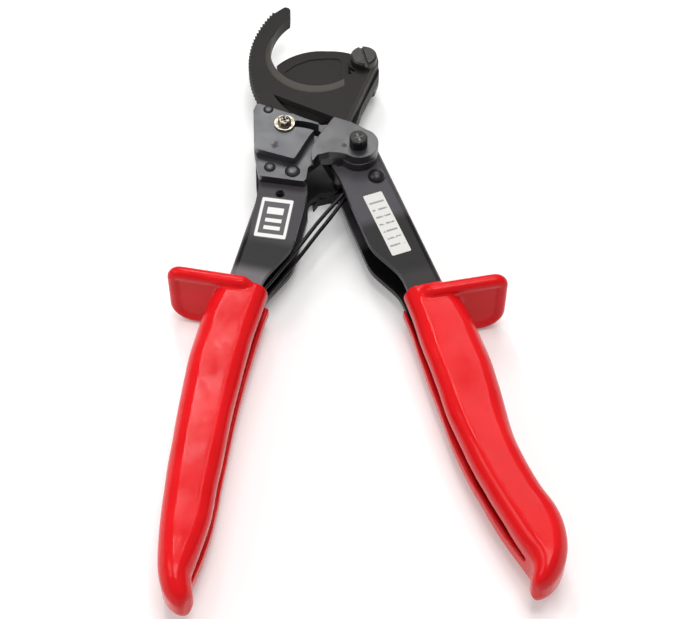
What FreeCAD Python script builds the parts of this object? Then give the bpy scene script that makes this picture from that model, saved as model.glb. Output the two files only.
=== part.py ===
import FreeCAD, Part
import math
import os
from FreeCAD import Vector

# Ratchet cable cutter lying flat, head towards +Y, +Z up, millimetres.
# The origin is on the handle pivot's axis, at the surface the tool lies on.
# Pieces are built about the tool's middle plane, where the two blades meet,
# and lifted by half the head's thickness when they are written.

# ---------------------------------------------------------------- driving dimensions
blade_thick = 5.6           # both blades
slide_gap = 0.1             # between faces that slide on each other
channel_wall = 2.3          # pressed steel of the two handles
plate_gap = 0.2             # head plate above the fixed handle's flange
head_plate_thick = 3.5
ear_plate_thick = 3.5
cover_thick = 3.5
pin_run_gap = 0.05          # round a pin that turns

# moving blade: a hook with a toothed rim round the blade bolt
bolt_ahead = 52.3           # blade bolt from the handle pivot
bolt_aside = 2.5
blade_axis = Vector(bolt_aside, bolt_ahead, 0)
rim_radius = 45.7
tooth_depth = 0.95
tooth_count = 35
tooth_pitch_deg = 2.36
rim_start_deg = 143.5       # at the hook's tip; the rim runs on under the head plates
rim_band = 6.0              # radial width of the rim's tail under the plates
mouth_centre_reach = (-18.8, 6.3)
mouth_centre = blade_axis + Vector(*mouth_centre_reach)
mouth_radius = 18.3
mouth_end_deg = 307.5
hook_tip_radius = 24.6      # the mouth opens to this larger arc towards the tip
hook_tip_deg = 134.0
# from the tip's inner corner
hook_tip_xy = [(-2.4, 6.0), (-0.7, 5.6), (0.1, 4.4)]
hook_tip_end = [Vector(*place) for place in hook_tip_xy]
bevel_centre_reach = (-19.1, 3.1)
bevel_centre = blade_axis + Vector(*bevel_centre_reach)
bevel_radius = 20.0
bevel_drop = 1.4
hollow_width = 2.3
hollow_drop = 0.35
chord_distance = 33.1       # straight lower edge of the blade, from the blade bolt
chord_foot_deg = 243.2
blade_side_distance = 5.2   # straight right edge, from the blade bolt
blade_side_deg = -19.9
edge_bevel = 1.2            # ground along both straight edges
blade_eye_radius = 6.0
eye_left_deg = 190.0
eye_right_deg = 10.1
mouth_step_xy = (2.6, 2.4)    # from the mouth's end to the thick part round the eye
mouth_step = Vector(*mouth_step_xy)
relief_at_reach = (-6.0, -4.7)     # two short grooves milled beside the eye
relief_at = blade_axis + Vector(*relief_at_reach)
relief_lean_deg = -44.0
relief_long = 4.6
relief_wide = 1.0
relief_pitch = 2.0
relief_deep = 1.6

# fixed blade: places in plan, taken from the blade bolt where they lie ahead of its neck
fixed_eye_radius = 6.2
fixed_eye_deg = (62.0, -20.0)
fixed_crest_xy = [(-34.7, 2.7), (-25.5, 9.3), (-14.6, 10.9), (-10.1, 10.7), (-5.9, 9.8)]
fixed_neck_right_xy = [(1.6, 33.0), (-1.6, 20.0)]
fixed_neck_left_xy = [(-10.0, 14.0), (-22.0, 37.5), (-30.6, 48.5)]
fixed_crest = [Vector(*place) for place in fixed_crest_xy]
fixed_neck_right = [Vector(*place) for place in fixed_neck_right_xy]
fixed_neck_left = [Vector(*place) for place in fixed_neck_left_xy]
fixed_relief = 0.4          # its face is relieved inside a ground land
fixed_relief_plan = [(-31.7, -1.1, 1.0), (-27.5, 3.1, 2.0), (-21.3, 6.2, 4.0), (-14.6, 6.9, 4.0),
                     (-9.0, 6.7, 2.0), (-9.0, -8.3, 3.0), (-24.5, -8.3, 4.0)]
fixed_edge_bevel = 1.2      # ground from below
pivot_boss_radius = 5.2     # eye of the fixed blade round the pivot
pivot_boss_deg = (35.0, 170.0)
# from its rivet
fixed_foot = [(-8.8, 5.6, 0.5), (-2.6, 12.0, 0.5), (2.2, 2.0, 2.6), (0.6, -3.0, 2.6), (-3.2, -2.4, 2.6)]

# dome rivet that joins the fixed blade and the fixed handle
blade_rivet_at_xy = (6.8, -9.6)
blade_rivet_at = Vector(*blade_rivet_at_xy)
rivet_radius = 2.0
dome_radius = 3.25
dome_high = 2.3
dome_crown = 0.6            # a head's crown to its foot

# blade bolt and nut
bolt_radius = 3.2
bolt_head_radius = 5.2
bolt_head_high = 3.5
bolt_head_edge = 0.7
bolt_slot_wide = 1.3
bolt_slot_deep = 1.5
bolt_slot_deg = 14.0
bolt_past_nut = 0.6
nut_across = 11.0
nut_high = 4.6
nut_turn_deg = 15.0

# handle pivot
pivot_radius = 2.5
pivot_run_gap = 0.05
bush_radius = 3.2
pivot_head_radius = 3.4
pivot_head_high = 4.3
screw_edge = 0.4
pivot_cross_arm = 2.2
pivot_cross_deep = 2.2

# pawls: their pins, where their noses meet the rim seen from the blade bolt, and their
# outlines as (back from the rim, along the rim, radius) from the nose, or (x, y, radius) from the pin
pawl_clear = 0.3            # nose above the tips of the teeth
pawl_thick = 5.5
drive_pin_xy = (-24.6, -10.2)
drive_pin = Vector(*drive_pin_xy)
drive_pin_radius = 1.9
drive_pin_head = 2.9
drive_pin_head_high = 1.0
drive_nose_deg = 222.0
drive_hub_radius = 4.2
drive_hook = [(0.0, 0.0, 0.15), (2.7, 0.35, 1.0), (2.48, 7.35, 3.0), (1.52, 11.97, 2.0), (3.86, 14.72, 2.0)]
drive_hub = [(3.7, 1.6, 0.3), (-4.0, 1.2, 0.3)]
drive_back = [(7.87, 9.76, 6.0), (7.02, 1.64, 3.0), (2.7, -3.4, 1.0)]
hold_pin_xy = (-7.2, -4.0)
hold_pin = Vector(*hold_pin_xy)
hold_pin_radius = 1.25
hold_nose_deg = 249.0
hold_hub_radius = 3.0
hold_hook = [(0.0, 0.0, 0.15), (2.4, 0.3, 0.8), (4.69, 7.78, 2.5)]
hold_hub = [(2.7, 1.4, 0.3), (-2.5, -1.6, 0.3)]
hold_back = [(5.46, 1.86, 2.5), (2.4, -1.9, 0.8)]

# release screw that stands on the drive pawl
release_back = 4.76         # its place from the drive pawl's nose
release_along = 11.08
release_radius = 1.4
release_head_radius = 2.5
release_head_high = 1.8
release_head_edge = 0.5
release_cross_arm = 1.5
release_cross_deep = 1.1
washer_radius = 3.9
washer_thick = 0.8
slot_clear = 0.2
slot_spare_deg = 0.6        # of the slot past each end of the stroke
handle_stroke_deg = 27.0
pawl_ratio = -1.3           # drive pawl's turn on the handle for each degree of handle

# rivets and dowels of the head
handle_rivet_at_xy = (-33.1, -8.3)
handle_rivet_at = Vector(*handle_rivet_at_xy)
handle_rivet_radius = 1.5
handle_rivet_head = 2.2
handle_rivet_head_high = 0.9
flange_hole_at_xy = (-29.1, -18.2)
flange_hole_at = Vector(*flange_hole_at_xy)
flange_hole_radius = 1.8
ear_dowel_at_xy = (-5.3, -0.5)
ear_dowel_at = Vector(*ear_dowel_at_xy)
ear_dowel_radius = 0.9
cover_rivet_at_xy = (-34.1, 17.6)
cover_rivet_at = Vector(*cover_rivet_at_xy)
cover_rivet_radius = 1.3
cover_rivet_head = 1.95
cover_rivet_head_high = 0.5

# outlines of the head's plates, (x, y, radius)
head_plate_plan = [(-38.4, 23.0, 2.0), (-39.9, 17.2, 3.0), (-39.1, -1.2, 6.0), (-37.0, -12.3, 1.5),
                   (-19.6, -15.2, 1.5), (-18.8, -8.4, 1.2), (-14.4, -4.2, 1.5), (-7.0, -3.6, 3.0),
                   (-0.5, -6.6, 0.2), (4.6, 5.2, 0.2), (-2.9, 10.6, 2.0), (-9.3, 13.2, 1.0), (-14.0, 12.8, 1.5)]
ear_plan = [(-9.2, 13.9, 0.8), (-2.7, 11.3, 2.5), (4.2, 6.6, 0.2), (0.2, -6.3, 0.2), (-2.7, -5.3, 2.0),
            (-7.2, -4.0, 3.0), (-10.9, -3.7, 3.0), (-15.2, -5.0, 1.2), (-17.2, -8.4, 0.3), (-17.7, -4.3, 2.0),
            (-17.2, -0.7, 3.0), (-15.0, 4.1, 4.0)]
cover_plan = [(-38.5, 21.0, 1.2), (-39.8, 17.2, 2.5), (-39.0, 1.3, 2.0), (-38.3, -2.0, 1.2), (-23.9, -7.1, 1.2),
              (-18.4, 4.3, 3.0), (-16.4, 7.4, 0.8), (-14.6, 10.7, 0.8)]
pivot_eye_radius = 7.2      # of the head plates and ears, round the pivot
ear_eye_at_xy = (0.3, 0.7)
ear_eye_at = Vector(*ear_eye_at_xy)

# handles: length of each channel, place of its outer edge's start, lean from -Y,
# and outlines as (along, inwards, radius)
fixed_length = 176.0
moving_length = 158.0
fixed_start_xy = (8.4, 2.6)
fixed_start = Vector(*fixed_start_xy)
fixed_lean_deg = 19.65
moving_start_xy = (-37.2, -15.6)
moving_start = Vector(*moving_start_xy)
moving_lean_deg = -13.7
bend_radius = 2.6
web_start = 2.2             # only the flanges reach on to the head
fixed_outer = [(1.5, 0.0, 0.0), (fixed_length * 0.636, 0.0, 120.0), (fixed_length * 0.801, 4.6, 60.0),
               (fixed_length, 3.2, 0.0)]
fixed_inner = [(fixed_length, 12.6, 0.0), (fixed_length * 0.801, 17.2, 60.0), (fixed_length * 0.591, 15.4, 200.0),
               (57.0, 13.2, 18.0), (42.0, 19.4, 18.0)]
fixed_head = [(20.0, 19.2, 30.0), (8.0, 18.8, 30.0), (-1.0, 19.6, 2.0), (-7.4, 14.0, 4.0), (-8.2, 5.0, 4.0),
              (-4.0, 0.6, 3.0)]
moving_outer = [(1.0, 0.0, 0.0), (moving_length * 0.506, 0.0, 100.0), (moving_length * 0.709, 2.4, 200.0),
                (moving_length, 11.4, 0.0)]
moving_inner = [(moving_length, 18.2, 0.0), (moving_length * 0.835, 18.4, 80.0), (moving_length * 0.582, 13.6, 200.0),
                (40.0, 12.6, 18.0), (24.0, 19.3, 18.0)]
moving_head = [(-2.0, 18.2, 1.5), (-13.6, 14.8, 2.0), (-13.4, -4.2, 2.0), (-1.5, -0.3, 2.0)]

# grips, dipped over the handles, and the guards moulded on them
grip_half = 10.2
grip_edge = 2.8
grip_nose_radius = 8.5      # rounds the end from top to bottom
grip_slot_half = 4.6
# the tails' corners and slot ends are taken from the end of the channel
fixed_tail = [(-11.0, -2.3, 28.0), (3.0, 1.4, 25.0), (12.0, 8.6, 8.0), (13.4, 15.6, 3.7), (9.0, 18.2, 3.7),
              (0.5, 12.6, 12.0)]
fixed_tail_long = 12.2
fixed_slot_short = 3.1
fixed_grip_start = [(64.9, 14.7, 0.0), (67.5, -2.3, 0.0), (77.0, -4.3, 25.0)]
fixed_grip_back = [(fixed_length * 0.574, -3.8, 60.0), (fixed_length * 0.693, 1.1, 50.0),
                   (fixed_length * 0.79, 2.0, 50.0)]
fixed_grip_front = [(fixed_length * 0.841, 18.2, 70.0), (fixed_length * 0.693, 18.8, 120.0), (86.0, 16.2, 200.0)]
fixed_grip_plan = fixed_grip_start + fixed_grip_back
fixed_grip_plan += [(fixed_length + s, n, radius) for s, n, radius in fixed_tail] + fixed_grip_front
fixed_grip_end = fixed_length + fixed_tail_long
moving_tail = [(-10.0, 6.3, 150.0), (8.5, 11.6, 9.0), (13.0, 20.0, 4.4), (7.5, 23.4, 4.0), (-2.0, 20.4, 20.0)]
moving_tail_long = 11.8
moving_slot_long = 2.5
moving_grip_start = [(44.7, 15.0, 0.0), (45.5, -2.3, 0.0), (56.0, -4.6, 25.0)]
moving_grip_back = [(moving_length * 0.532, -4.5, 90.0)]
moving_grip_front = [(moving_length * 0.848, 20.4, 60.0), (moving_length * 0.684, 17.4, 200.0), (72.0, 15.0, 200.0)]
moving_grip_plan = moving_grip_start + moving_grip_back
moving_grip_plan += [(moving_length + s, n, radius) for s, n, radius in moving_tail] + moving_grip_front
moving_grip_end = moving_length + moving_tail_long
# end of each slot, and the depth it starts at near the head and at its end
slot_near = 8.0
fixed_slot_far = 9.5
moving_slot_far = 14.5
fixed_slot = (fixed_length - fixed_slot_short, slot_near, fixed_slot_far)
moving_slot = (moving_length + moving_slot_long, slot_near, moving_slot_far)
guard_thick = 4.6
guard_edge = 1.3
guard_top = 12.3            # above the middle plane
guard_outer = -20.7         # inwards place of its two ends
guard_inner = 10.5
guard_corners = (9.0, 3.0, 4.5, 4.5)    # bottom outer, bottom inner, top inner, top outer
fixed_guard_at = 69.1       # along the handle, at the guard's inner end
fixed_guard_lean_deg = 8.5
moving_guard_at = 45.7
moving_guard_lean_deg = 3.0

# springs
spring_wire = 1.0
coil_clear = 0.3            # between a coil and what it turns round
tang_deg = -137.7           # where each short end of the return spring meets its coil
leg_deg = -37.3 - 720       # where each long leg leaves its coil
tang_end_xy = (5.3, -11.9)
tang_end = Vector(*tang_end_xy)
# long legs in plan, with the share of their closing-in reached at each point
spring_leg = [(-5.1, -13.3, 0.2), (-18.7, -27.6, 0.5), (-29.9, -44.0, 0.8), (-44.6, -62.6, 1.0)]
loop_low = 1.2
loop_high = 4.4
pawl_spring_wire = 0.7
pawl_spring_turns = 3
drive_spring_xy = ((-31.4, -9.8), (-26.0, -1.5))
hold_spring_xy = ((-12.0, -9.0), (-11.0, 2.5))
drive_spring_ends = [Vector(*place) for place in drive_spring_xy]
hold_spring_ends = [Vector(*place) for place in hold_spring_xy]
wire_sides = 6
wire_step_deg = 36.0

# ---------------------------------------------------------------- heights from the middle plane
blade_low = slide_gap / 2
blade_top = blade_low + blade_thick
flange_low = blade_top + slide_gap
flange_top = flange_low + channel_wall
plate_low = flange_top + plate_gap
plate_top = plate_low + head_plate_thick
ear_top = plate_top + ear_plate_thick
cover_top = plate_top + cover_thick
lift = ear_top


# ---------------------------------------------------------------- helpers
def save(name, shape):
    """Write one sub-part, lifted so that the tool lies on z = 0."""
    os.makedirs("parts", exist_ok=True)
    shape.translated(Vector(0, 0, lift)).exportStep("parts/" + name + ".step")


def polar(centre, radius, degrees, z=0.0):
    turn = math.radians(degrees)
    return Vector(centre.x + radius * math.cos(turn), centre.y + radius * math.sin(turn), z)


def rounded_wire(corners):
    """Closed wire through (x, y, radius) corners, each rounded by its radius."""
    count = len(corners)
    edges = []
    starts = []
    for i in range(count):
        here = Vector(corners[i][0], corners[i][1], 0)
        before = Vector(corners[i - 1][0], corners[i - 1][1], 0) - here
        after = Vector(corners[(i + 1) % count][0], corners[(i + 1) % count][1], 0) - here
        before.normalize()
        after.normalize()
        radius = corners[i][2]
        half = before.getAngle(after) / 2
        reach = radius / math.tan(half)
        middle = before + after
        middle.normalize()
        crown = here + middle * (radius / math.sin(half) - radius)
        starts.append((here + before * reach, crown, here + after * reach, radius))
    for i in range(count):
        first, crown, last, radius = starts[i]
        if radius > 0:
            edges.append(Part.Arc(first, crown, last).toShape())
        following = starts[(i + 1) % count][0]
        if last.distanceToPoint(following) > 1e-6:
            edges.append(Part.LineSegment(last, following).toShape())
    return Part.Wire(edges)


def prism(wire, low, high):
    """Solid between two heights over a flat closed wire."""
    face = Part.Face(wire).translated(Vector(0, 0, low))
    return face.extrude(Vector(0, 0, high - low))


def plate(corners, low, high):
    return prism(rounded_wire(corners), low, high)


def disc(centre, radius, low, high):
    return Part.makeCylinder(radius, high - low, Vector(centre.x, centre.y, low))


def both_sides(low, high):
    """The two height ranges of a pair of plates, above and below the middle."""
    return {"top": (low, high), "bottom": (-high, -low)}


def arc_edge(centre, radius, start, end):
    middle = (start + end) / 2
    return Part.Arc(polar(centre, radius, start), polar(centre, radius, middle),
                    polar(centre, radius, end)).toShape()


def arc_slot(centre, radius, half_width, start, end):
    """Wire of a curved slot, with round ends, between two angles."""
    inner = radius - half_width
    outer = radius + half_width
    past = math.degrees(half_width / radius)
    far_end = Part.Arc(polar(centre, outer, end), polar(centre, radius, end + past),
                       polar(centre, inner, end)).toShape()
    near_end = Part.Arc(polar(centre, inner, start), polar(centre, radius, start - past),
                        polar(centre, outer, start)).toShape()
    return Part.Wire([arc_edge(centre, outer, start, end), far_end,
                      arc_edge(centre, inner, end, start), near_end])


def line(first, last):
    return Part.LineSegment(first, last).toShape()


def over(centre, corners):
    """(x, y, radius) corners moved so that they are taken from a centre."""
    return [(centre.x + x, centre.y + y, radius) for x, y, radius in corners]


def through(shape, holes, low, high):
    """The shape with round holes, given as (centre, radius), right through it."""
    for centre, radius in holes:
        shape = shape.cut(disc(centre, radius, low - 1, high + 1))
    return shape


def bevelled_head(centre, radius, low, high, edge):
    """Screw head whose upper edge is turned off."""
    head = disc(centre, radius, low, high)
    rims = [e for e in head.Edges if abs(e.CenterOfMass.z - high) < 0.01
            and e.Curve.TypeId == "Part::GeomCircle"]
    return head.makeChamfer(edge, rims)


# ---------------------------------------------------------------- moving blade
def rim_points():
    """Saw teeth along the rim; each steep face looks back towards the tip."""
    root = rim_radius - tooth_depth
    points = []
    for i in range(tooth_count):
        at = rim_start_deg + i * tooth_pitch_deg
        points.append(polar(blade_axis, root, at))
        points.append(polar(blade_axis, rim_radius, at))
    points.append(polar(blade_axis, root, rim_start_deg + tooth_count * tooth_pitch_deg))
    return points


def meeting(first, first_way, second, second_way):
    """Point where two straight lines in plan meet."""
    run = second - first
    spread = first_way.x * second_way.y - first_way.y * second_way.x
    return first + first_way * ((run.x * second_way.y - run.y * second_way.x) / spread)


def moving_blade():
    """Hook, toothed rim and eye as one plate with a ground cutting edge."""
    rim = rim_points()
    rim_end_deg = rim_start_deg + tooth_count * tooth_pitch_deg
    band_radius = rim_radius - rim_band
    # straight lower edge and straight right edge
    chord_way = polar(Vector(), 1, chord_foot_deg + 90)
    chord_foot = polar(blade_axis, chord_distance, chord_foot_deg)
    chord_left = chord_foot - chord_way * math.sqrt(band_radius ** 2 - chord_distance ** 2)
    chord_left_deg = math.degrees(math.atan2(chord_left.y - blade_axis.y, chord_left.x - blade_axis.x)) % 360
    side_foot = polar(blade_axis, blade_side_distance, blade_side_deg)
    side_way = polar(Vector(), 1, blade_side_deg - 90)
    corner = meeting(chord_foot, chord_way, side_foot, side_way)
    # mouth: the cutting arc, then the wider arc out to the tip
    tip_centre = Vector(mouth_centre.x - mouth_radius + hook_tip_radius, mouth_centre.y, 0)
    tip_inner = polar(tip_centre, hook_tip_radius, hook_tip_deg)
    tip_top, tip_round, tip_crown = [tip_inner + offset for offset in hook_tip_end]
    mouth_end = polar(mouth_centre, mouth_radius, mouth_end_deg)
    eye_left = polar(blade_axis, blade_eye_radius, eye_left_deg)
    edges = [
        arc_edge(tip_centre, hook_tip_radius, hook_tip_deg, 180),
        arc_edge(mouth_centre, mouth_radius, 180, mouth_end_deg),
        line(mouth_end, mouth_end + mouth_step),
        line(mouth_end + mouth_step, eye_left),
        arc_edge(blade_axis, blade_eye_radius, eye_left_deg, eye_right_deg),
        line(polar(blade_axis, blade_eye_radius, eye_right_deg), side_foot),
        line(side_foot, corner),
        line(corner, chord_left),
        arc_edge(blade_axis, band_radius, chord_left_deg, rim_end_deg),
        line(polar(blade_axis, band_radius, rim_end_deg), rim[-1]),
    ]
    edges += [line(rim[i + 1], rim[i]) for i in range(len(rim) - 2, -1, -1)]
    edges += [line(rim[0], tip_top), Part.Arc(tip_top, tip_round, tip_crown).toShape(),
              line(tip_crown, tip_inner)]
    blade = prism(Part.Wire(edges), blade_low, blade_top)
    middles = [(corner + end) / 2 + Vector(0, 0, blade_top) for end in (chord_left, side_foot)]
    straight = [e for e in blade.Edges if min(e.CenterOfMass.distanceToPoint(place) for place in middles) < 0.1]
    blade = blade.makeChamfer(edge_bevel, straight)
    blade = blade.cut(mouth_grinding(mouth_end.x)).cut(relief_grooves())
    return blade.cut(disc(blade_axis, bolt_radius + pin_run_gap, -1, blade_top + 1))


def mouth_grinding(end_x):
    """What is ground away round the mouth: the bevel and a shallow hollow outside it."""
    reach = 2 * rim_radius
    keep = Part.makeBox(reach, reach, reach, Vector(end_x - reach, mouth_centre.y - rim_radius, -rim_radius))
    low_ring = Part.Wire(Part.makeCircle(mouth_radius, Vector(mouth_centre.x, mouth_centre.y,
                                                              blade_top - bevel_drop)))
    top_ring = Part.Wire(Part.makeCircle(bevel_radius, Vector(bevel_centre.x, bevel_centre.y, blade_top)))
    bevel = Part.makeLoft([low_ring, top_ring], True, True)
    hollow = Part.makeCone(bevel_radius - hollow_width, bevel_radius + hollow_width, 2 * hollow_drop,
                           Vector(bevel_centre.x, bevel_centre.y, blade_top - hollow_drop))
    return bevel.fuse(hollow).common(keep)


def relief_grooves():
    """Two parallel grooves milled in the blade beside its eye."""
    grooves = []
    for place in (-0.5, 0.5):
        groove = Part.makeBox(relief_long, relief_wide, 2 * relief_deep,
                              Vector(-relief_long / 2, place * relief_pitch - relief_wide / 2, -relief_deep))
        groove.rotate(Vector(0, 0, 0), Vector(0, 0, 1), relief_lean_deg)
        grooves.append(groove.translated(relief_at + Vector(0, 0, blade_top)))
    return grooves[0].fuse(grooves[1])


# ---------------------------------------------------------------- fixed blade
def fixed_blade():
    """Bean-shaped blade under the hook, with a neck down to the handle pivot."""
    low, high = -blade_top, -blade_low
    left, crown, crest, crest_right, right = [blade_axis + place for place in fixed_crest]
    pivot = Vector(0, 0, 0)
    eye_top = polar(blade_axis, fixed_eye_radius, fixed_eye_deg[0])
    eye_right = polar(blade_axis, fixed_eye_radius, fixed_eye_deg[1])
    boss_right = polar(pivot, pivot_boss_radius, pivot_boss_deg[0])
    boss_left = polar(pivot, pivot_boss_radius, pivot_boss_deg[1])
    neck = [eye_right] + fixed_neck_right + [boss_right]
    back = [boss_left] + fixed_neck_left + [left]
    edges = [Part.Arc(left, crown, crest).toShape(), Part.Arc(crest, crest_right, right).toShape(),
             line(right, eye_top), arc_edge(blade_axis, fixed_eye_radius, *fixed_eye_deg)]
    edges += [line(neck[i], neck[i + 1]) for i in range(len(neck) - 1)]
    edges.append(arc_edge(pivot, pivot_boss_radius, pivot_boss_deg[0], pivot_boss_deg[1] - 360))
    edges += [line(back[i], back[i + 1]) for i in range(len(back) - 1)]
    blade = prism(Part.Wire(edges), low, high)
    # foot that the dome rivet holds beside the pivot
    blade = blade.fuse(plate(over(blade_rivet_at, fixed_foot), low, high)).removeSplitter()
    blade = blade.cut(plate(over(blade_axis, fixed_relief_plan), high - fixed_relief, high + 1))
    # the cutting edge is ground from below
    ground = [e for e in blade.Edges if abs(e.CenterOfMass.z - low) < 0.01 and e.Length > blade_axis.y / 4
              and e.CenterOfMass.y > blade_axis.y + fixed_eye_radius - 0.5]
    blade = blade.makeChamfer(fixed_edge_bevel, ground)
    return through(blade, [(blade_axis, bolt_radius), (pivot, bush_radius), (blade_rivet_at, rivet_radius)],
                   low, high)


# ---------------------------------------------------------------- rivets
def dome(centre, radius, high, z, sign):
    """Rivet head standing on the height z, its edge set down in one slope."""
    return Part.makeCone(radius, radius * dome_crown, high, Vector(centre.x, centre.y, z), Vector(0, 0, sign))


def two_headed(centre, shank, head, head_high, reach):
    """Rivet with a head above and below."""
    body = disc(centre, shank, -reach, reach)
    for sign in (1, -1):
        body = body.fuse(dome(centre, head, head_high, sign * reach, sign))
    return body.removeSplitter()


def blade_rivet():
    """Dome rivet that joins the fixed blade's foot and both flanges."""
    return two_headed(blade_rivet_at, rivet_radius, dome_radius, dome_high, flange_top)


def handle_rivet():
    return two_headed(handle_rivet_at, handle_rivet_radius, handle_rivet_head, handle_rivet_head_high,
                      plate_top)


def drive_pawl_pin():
    return two_headed(drive_pin, drive_pin_radius, drive_pin_head, drive_pin_head_high, plate_top)


def cover_rivet():
    shank = disc(cover_rivet_at, cover_rivet_radius, plate_low, cover_top)
    head = dome(cover_rivet_at, cover_rivet_head, cover_rivet_head_high, cover_top, 1)
    return shank.fuse(head).removeSplitter()


def ear_dowels():
    """Two flush dowels that lock the ears to the head plates."""
    return Part.makeCompound([disc(ear_dowel_at, ear_dowel_radius, low, high)
                              for low, high in both_sides(plate_low, ear_top).values()])


def holding_pawl_pin():
    return disc(hold_pin, hold_pin_radius, -flange_top, flange_top)


# ---------------------------------------------------------------- bolt, nut and pivot
def blade_bolt():
    """Slotted cheese-head bolt on which the hook turns."""
    head_low = blade_top + pin_run_gap
    head_top = head_low + bolt_head_high
    head = bevelled_head(blade_axis, bolt_head_radius, head_low, head_top, bolt_head_edge)
    slot = Part.makeBox(bolt_slot_wide, 4 * bolt_head_radius, bolt_slot_deep + 1,
                        Vector(-bolt_slot_wide / 2, -2 * bolt_head_radius, -bolt_slot_deep))
    slot.rotate(Vector(0, 0, 0), Vector(0, 0, 1), bolt_slot_deg)
    slot = slot.translated(blade_axis + Vector(0, 0, head_top))
    shank = disc(blade_axis, bolt_radius, -blade_top - nut_high - bolt_past_nut, head_low)
    return head.cut(slot).fuse(shank).removeSplitter()


def blade_nut():
    """Hexagon nut under the fixed blade, chamfered below."""
    corner_radius = nut_across / math.sqrt(3)
    low = -blade_top - nut_high
    hexagon = Part.makePolygon([polar(blade_axis, corner_radius, 60 * i + nut_turn_deg) for i in range(7)])
    nut = prism(Part.Wire(hexagon.Edges), low, -blade_top)
    slope = (corner_radius - nut_across / 2) * 0.6
    skirt = Part.makeCone(corner_radius - slope, corner_radius + nut_high, nut_high + slope,
                          Vector(blade_axis.x, blade_axis.y, low))
    return nut.common(skirt).cut(disc(blade_axis, bolt_radius, low - 1, 0))


def cross_recess(centre, top, arm, depth):
    """Tapered cross-shaped driver recess, as a solid to cut away."""
    shapes = []
    for turn in (20, 110):
        tip = Part.makeWedge(-arm, 0, -arm * 0.17, -arm * 0.12, -arm * 0.45,
                             arm, depth, arm * 0.17, arm * 0.12, arm * 0.45)
        tip.rotate(Vector(0, 0, 0), Vector(1, 0, 0), -90)
        tip.rotate(Vector(0, 0, 0), Vector(0, 0, 1), turn)
        shapes.append(tip.translated(Vector(centre.x, centre.y, top + 0.01)))
    return shapes[0].fuse(shapes[1])


def pivot_screw():
    """Cheese-head screw that joins the ears; it turns in the bush."""
    centre = Vector(0, 0, 0)
    head_top = ear_top + pivot_head_high
    head = bevelled_head(centre, pivot_head_radius, ear_top, head_top, screw_edge)
    head = head.cut(cross_recess(centre, head_top, pivot_cross_arm, pivot_cross_deep))
    return head.fuse(disc(centre, pivot_radius, -ear_top, ear_top)).removeSplitter()


def pivot_bush():
    """Hardened tube pressed through the fixed handle and the fixed blade."""
    centre = Vector(0, 0, 0)
    return disc(centre, bush_radius, -flange_top, flange_top).cut(
        disc(centre, pivot_radius + pivot_run_gap, -ear_top, ear_top))


# ---------------------------------------------------------------- handles
class Handle:
    """Local directions of one handle: along it, and inwards from its outer edge."""

    def __init__(self, start, lean_deg, inward_sign):
        lean = math.radians(lean_deg)
        self.start = start
        self.along = Vector(math.sin(lean), -math.cos(lean), 0)
        self.inward = Vector(-math.cos(lean), -math.sin(lean), 0) * inward_sign
        self.inward_sign = inward_sign

    def at(self, s, n, z=0.0):
        return self.start + self.along * s + self.inward * n + Vector(0, 0, z)

    def outline(self, corners):
        """Closed wire through (s, n, radius) corners."""
        placed = [(self.at(s, n), radius) for s, n, radius in corners]
        return rounded_wire([(point.x, point.y, radius) for point, radius in placed])

    def upright(self, shape, way, s, n):
        """A shape drawn in (across, up), stood on the handle facing along or inwards."""
        turn = FreeCAD.Rotation(way, Vector(0, 0, 1), way.cross(Vector(0, 0, 1)), "XYZ")
        shape.Placement = FreeCAD.Placement(self.at(s, n), turn).multiply(shape.Placement)
        return shape


fixed_handle = Handle(fixed_start, fixed_lean_deg, 1)
moving_handle = Handle(moving_start, moving_lean_deg, -1)


def channel_outside(handle, outer, inner, head, high):
    """A handle's whole outside, its two long bends rounded."""
    shape = prism(handle.outline(outer + inner + head), -high, high)
    bends = []
    for edge in shape.Edges:
        local = edge.CenterOfMass - handle.start
        along = local.dot(handle.along)
        if (abs(abs(local.z) - high) < 0.01 and 2 * bend_radius < along < outer[-1][0] - bend_radius
                and local.dot(handle.inward) < 3 * channel_wall):
            bends.append(edge)
    return shape.makeFillet(bend_radius, bends)


def channel(handle, outer, inner, head, high):
    """Pressed channel, open on its inner side, flanges running on past the web."""
    wall = channel_wall
    far = outer[-1][0] + 5
    near = -far
    web_face = [(s, n + wall, radius) for s, n, radius in outer[1:-1]]
    last = outer[-1][1] + wall
    inside = [(near, near, 0), (web_start, near, 0), (web_start, wall, 0)] + web_face
    inside += [(far, last, 0), (far, far, 0), (near, far, 0)]
    cavity = prism(handle.outline(inside), wall - high, high - wall)
    return channel_outside(handle, outer, inner, head, high).cut(cavity)


def fixed_channel():
    """Pressed steel channel of the handle that carries the fixed blade."""
    shape = channel(fixed_handle, fixed_outer, fixed_inner, fixed_head, flange_top)
    return through(shape, [(Vector(0, 0, 0), bush_radius), (blade_rivet_at, rivet_radius),
                           (hold_pin, hold_pin_radius)], -flange_top, flange_top)


def moving_channel():
    """Pressed steel channel of the handle that swings, held by the head plates."""
    shape = channel(moving_handle, moving_outer, moving_inner, moving_head, plate_low)
    return through(shape, [(drive_pin, drive_pin_radius), (handle_rivet_at, handle_rivet_radius),
                           (flange_hole_at, flange_hole_radius)], -plate_low, plate_low)


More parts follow.
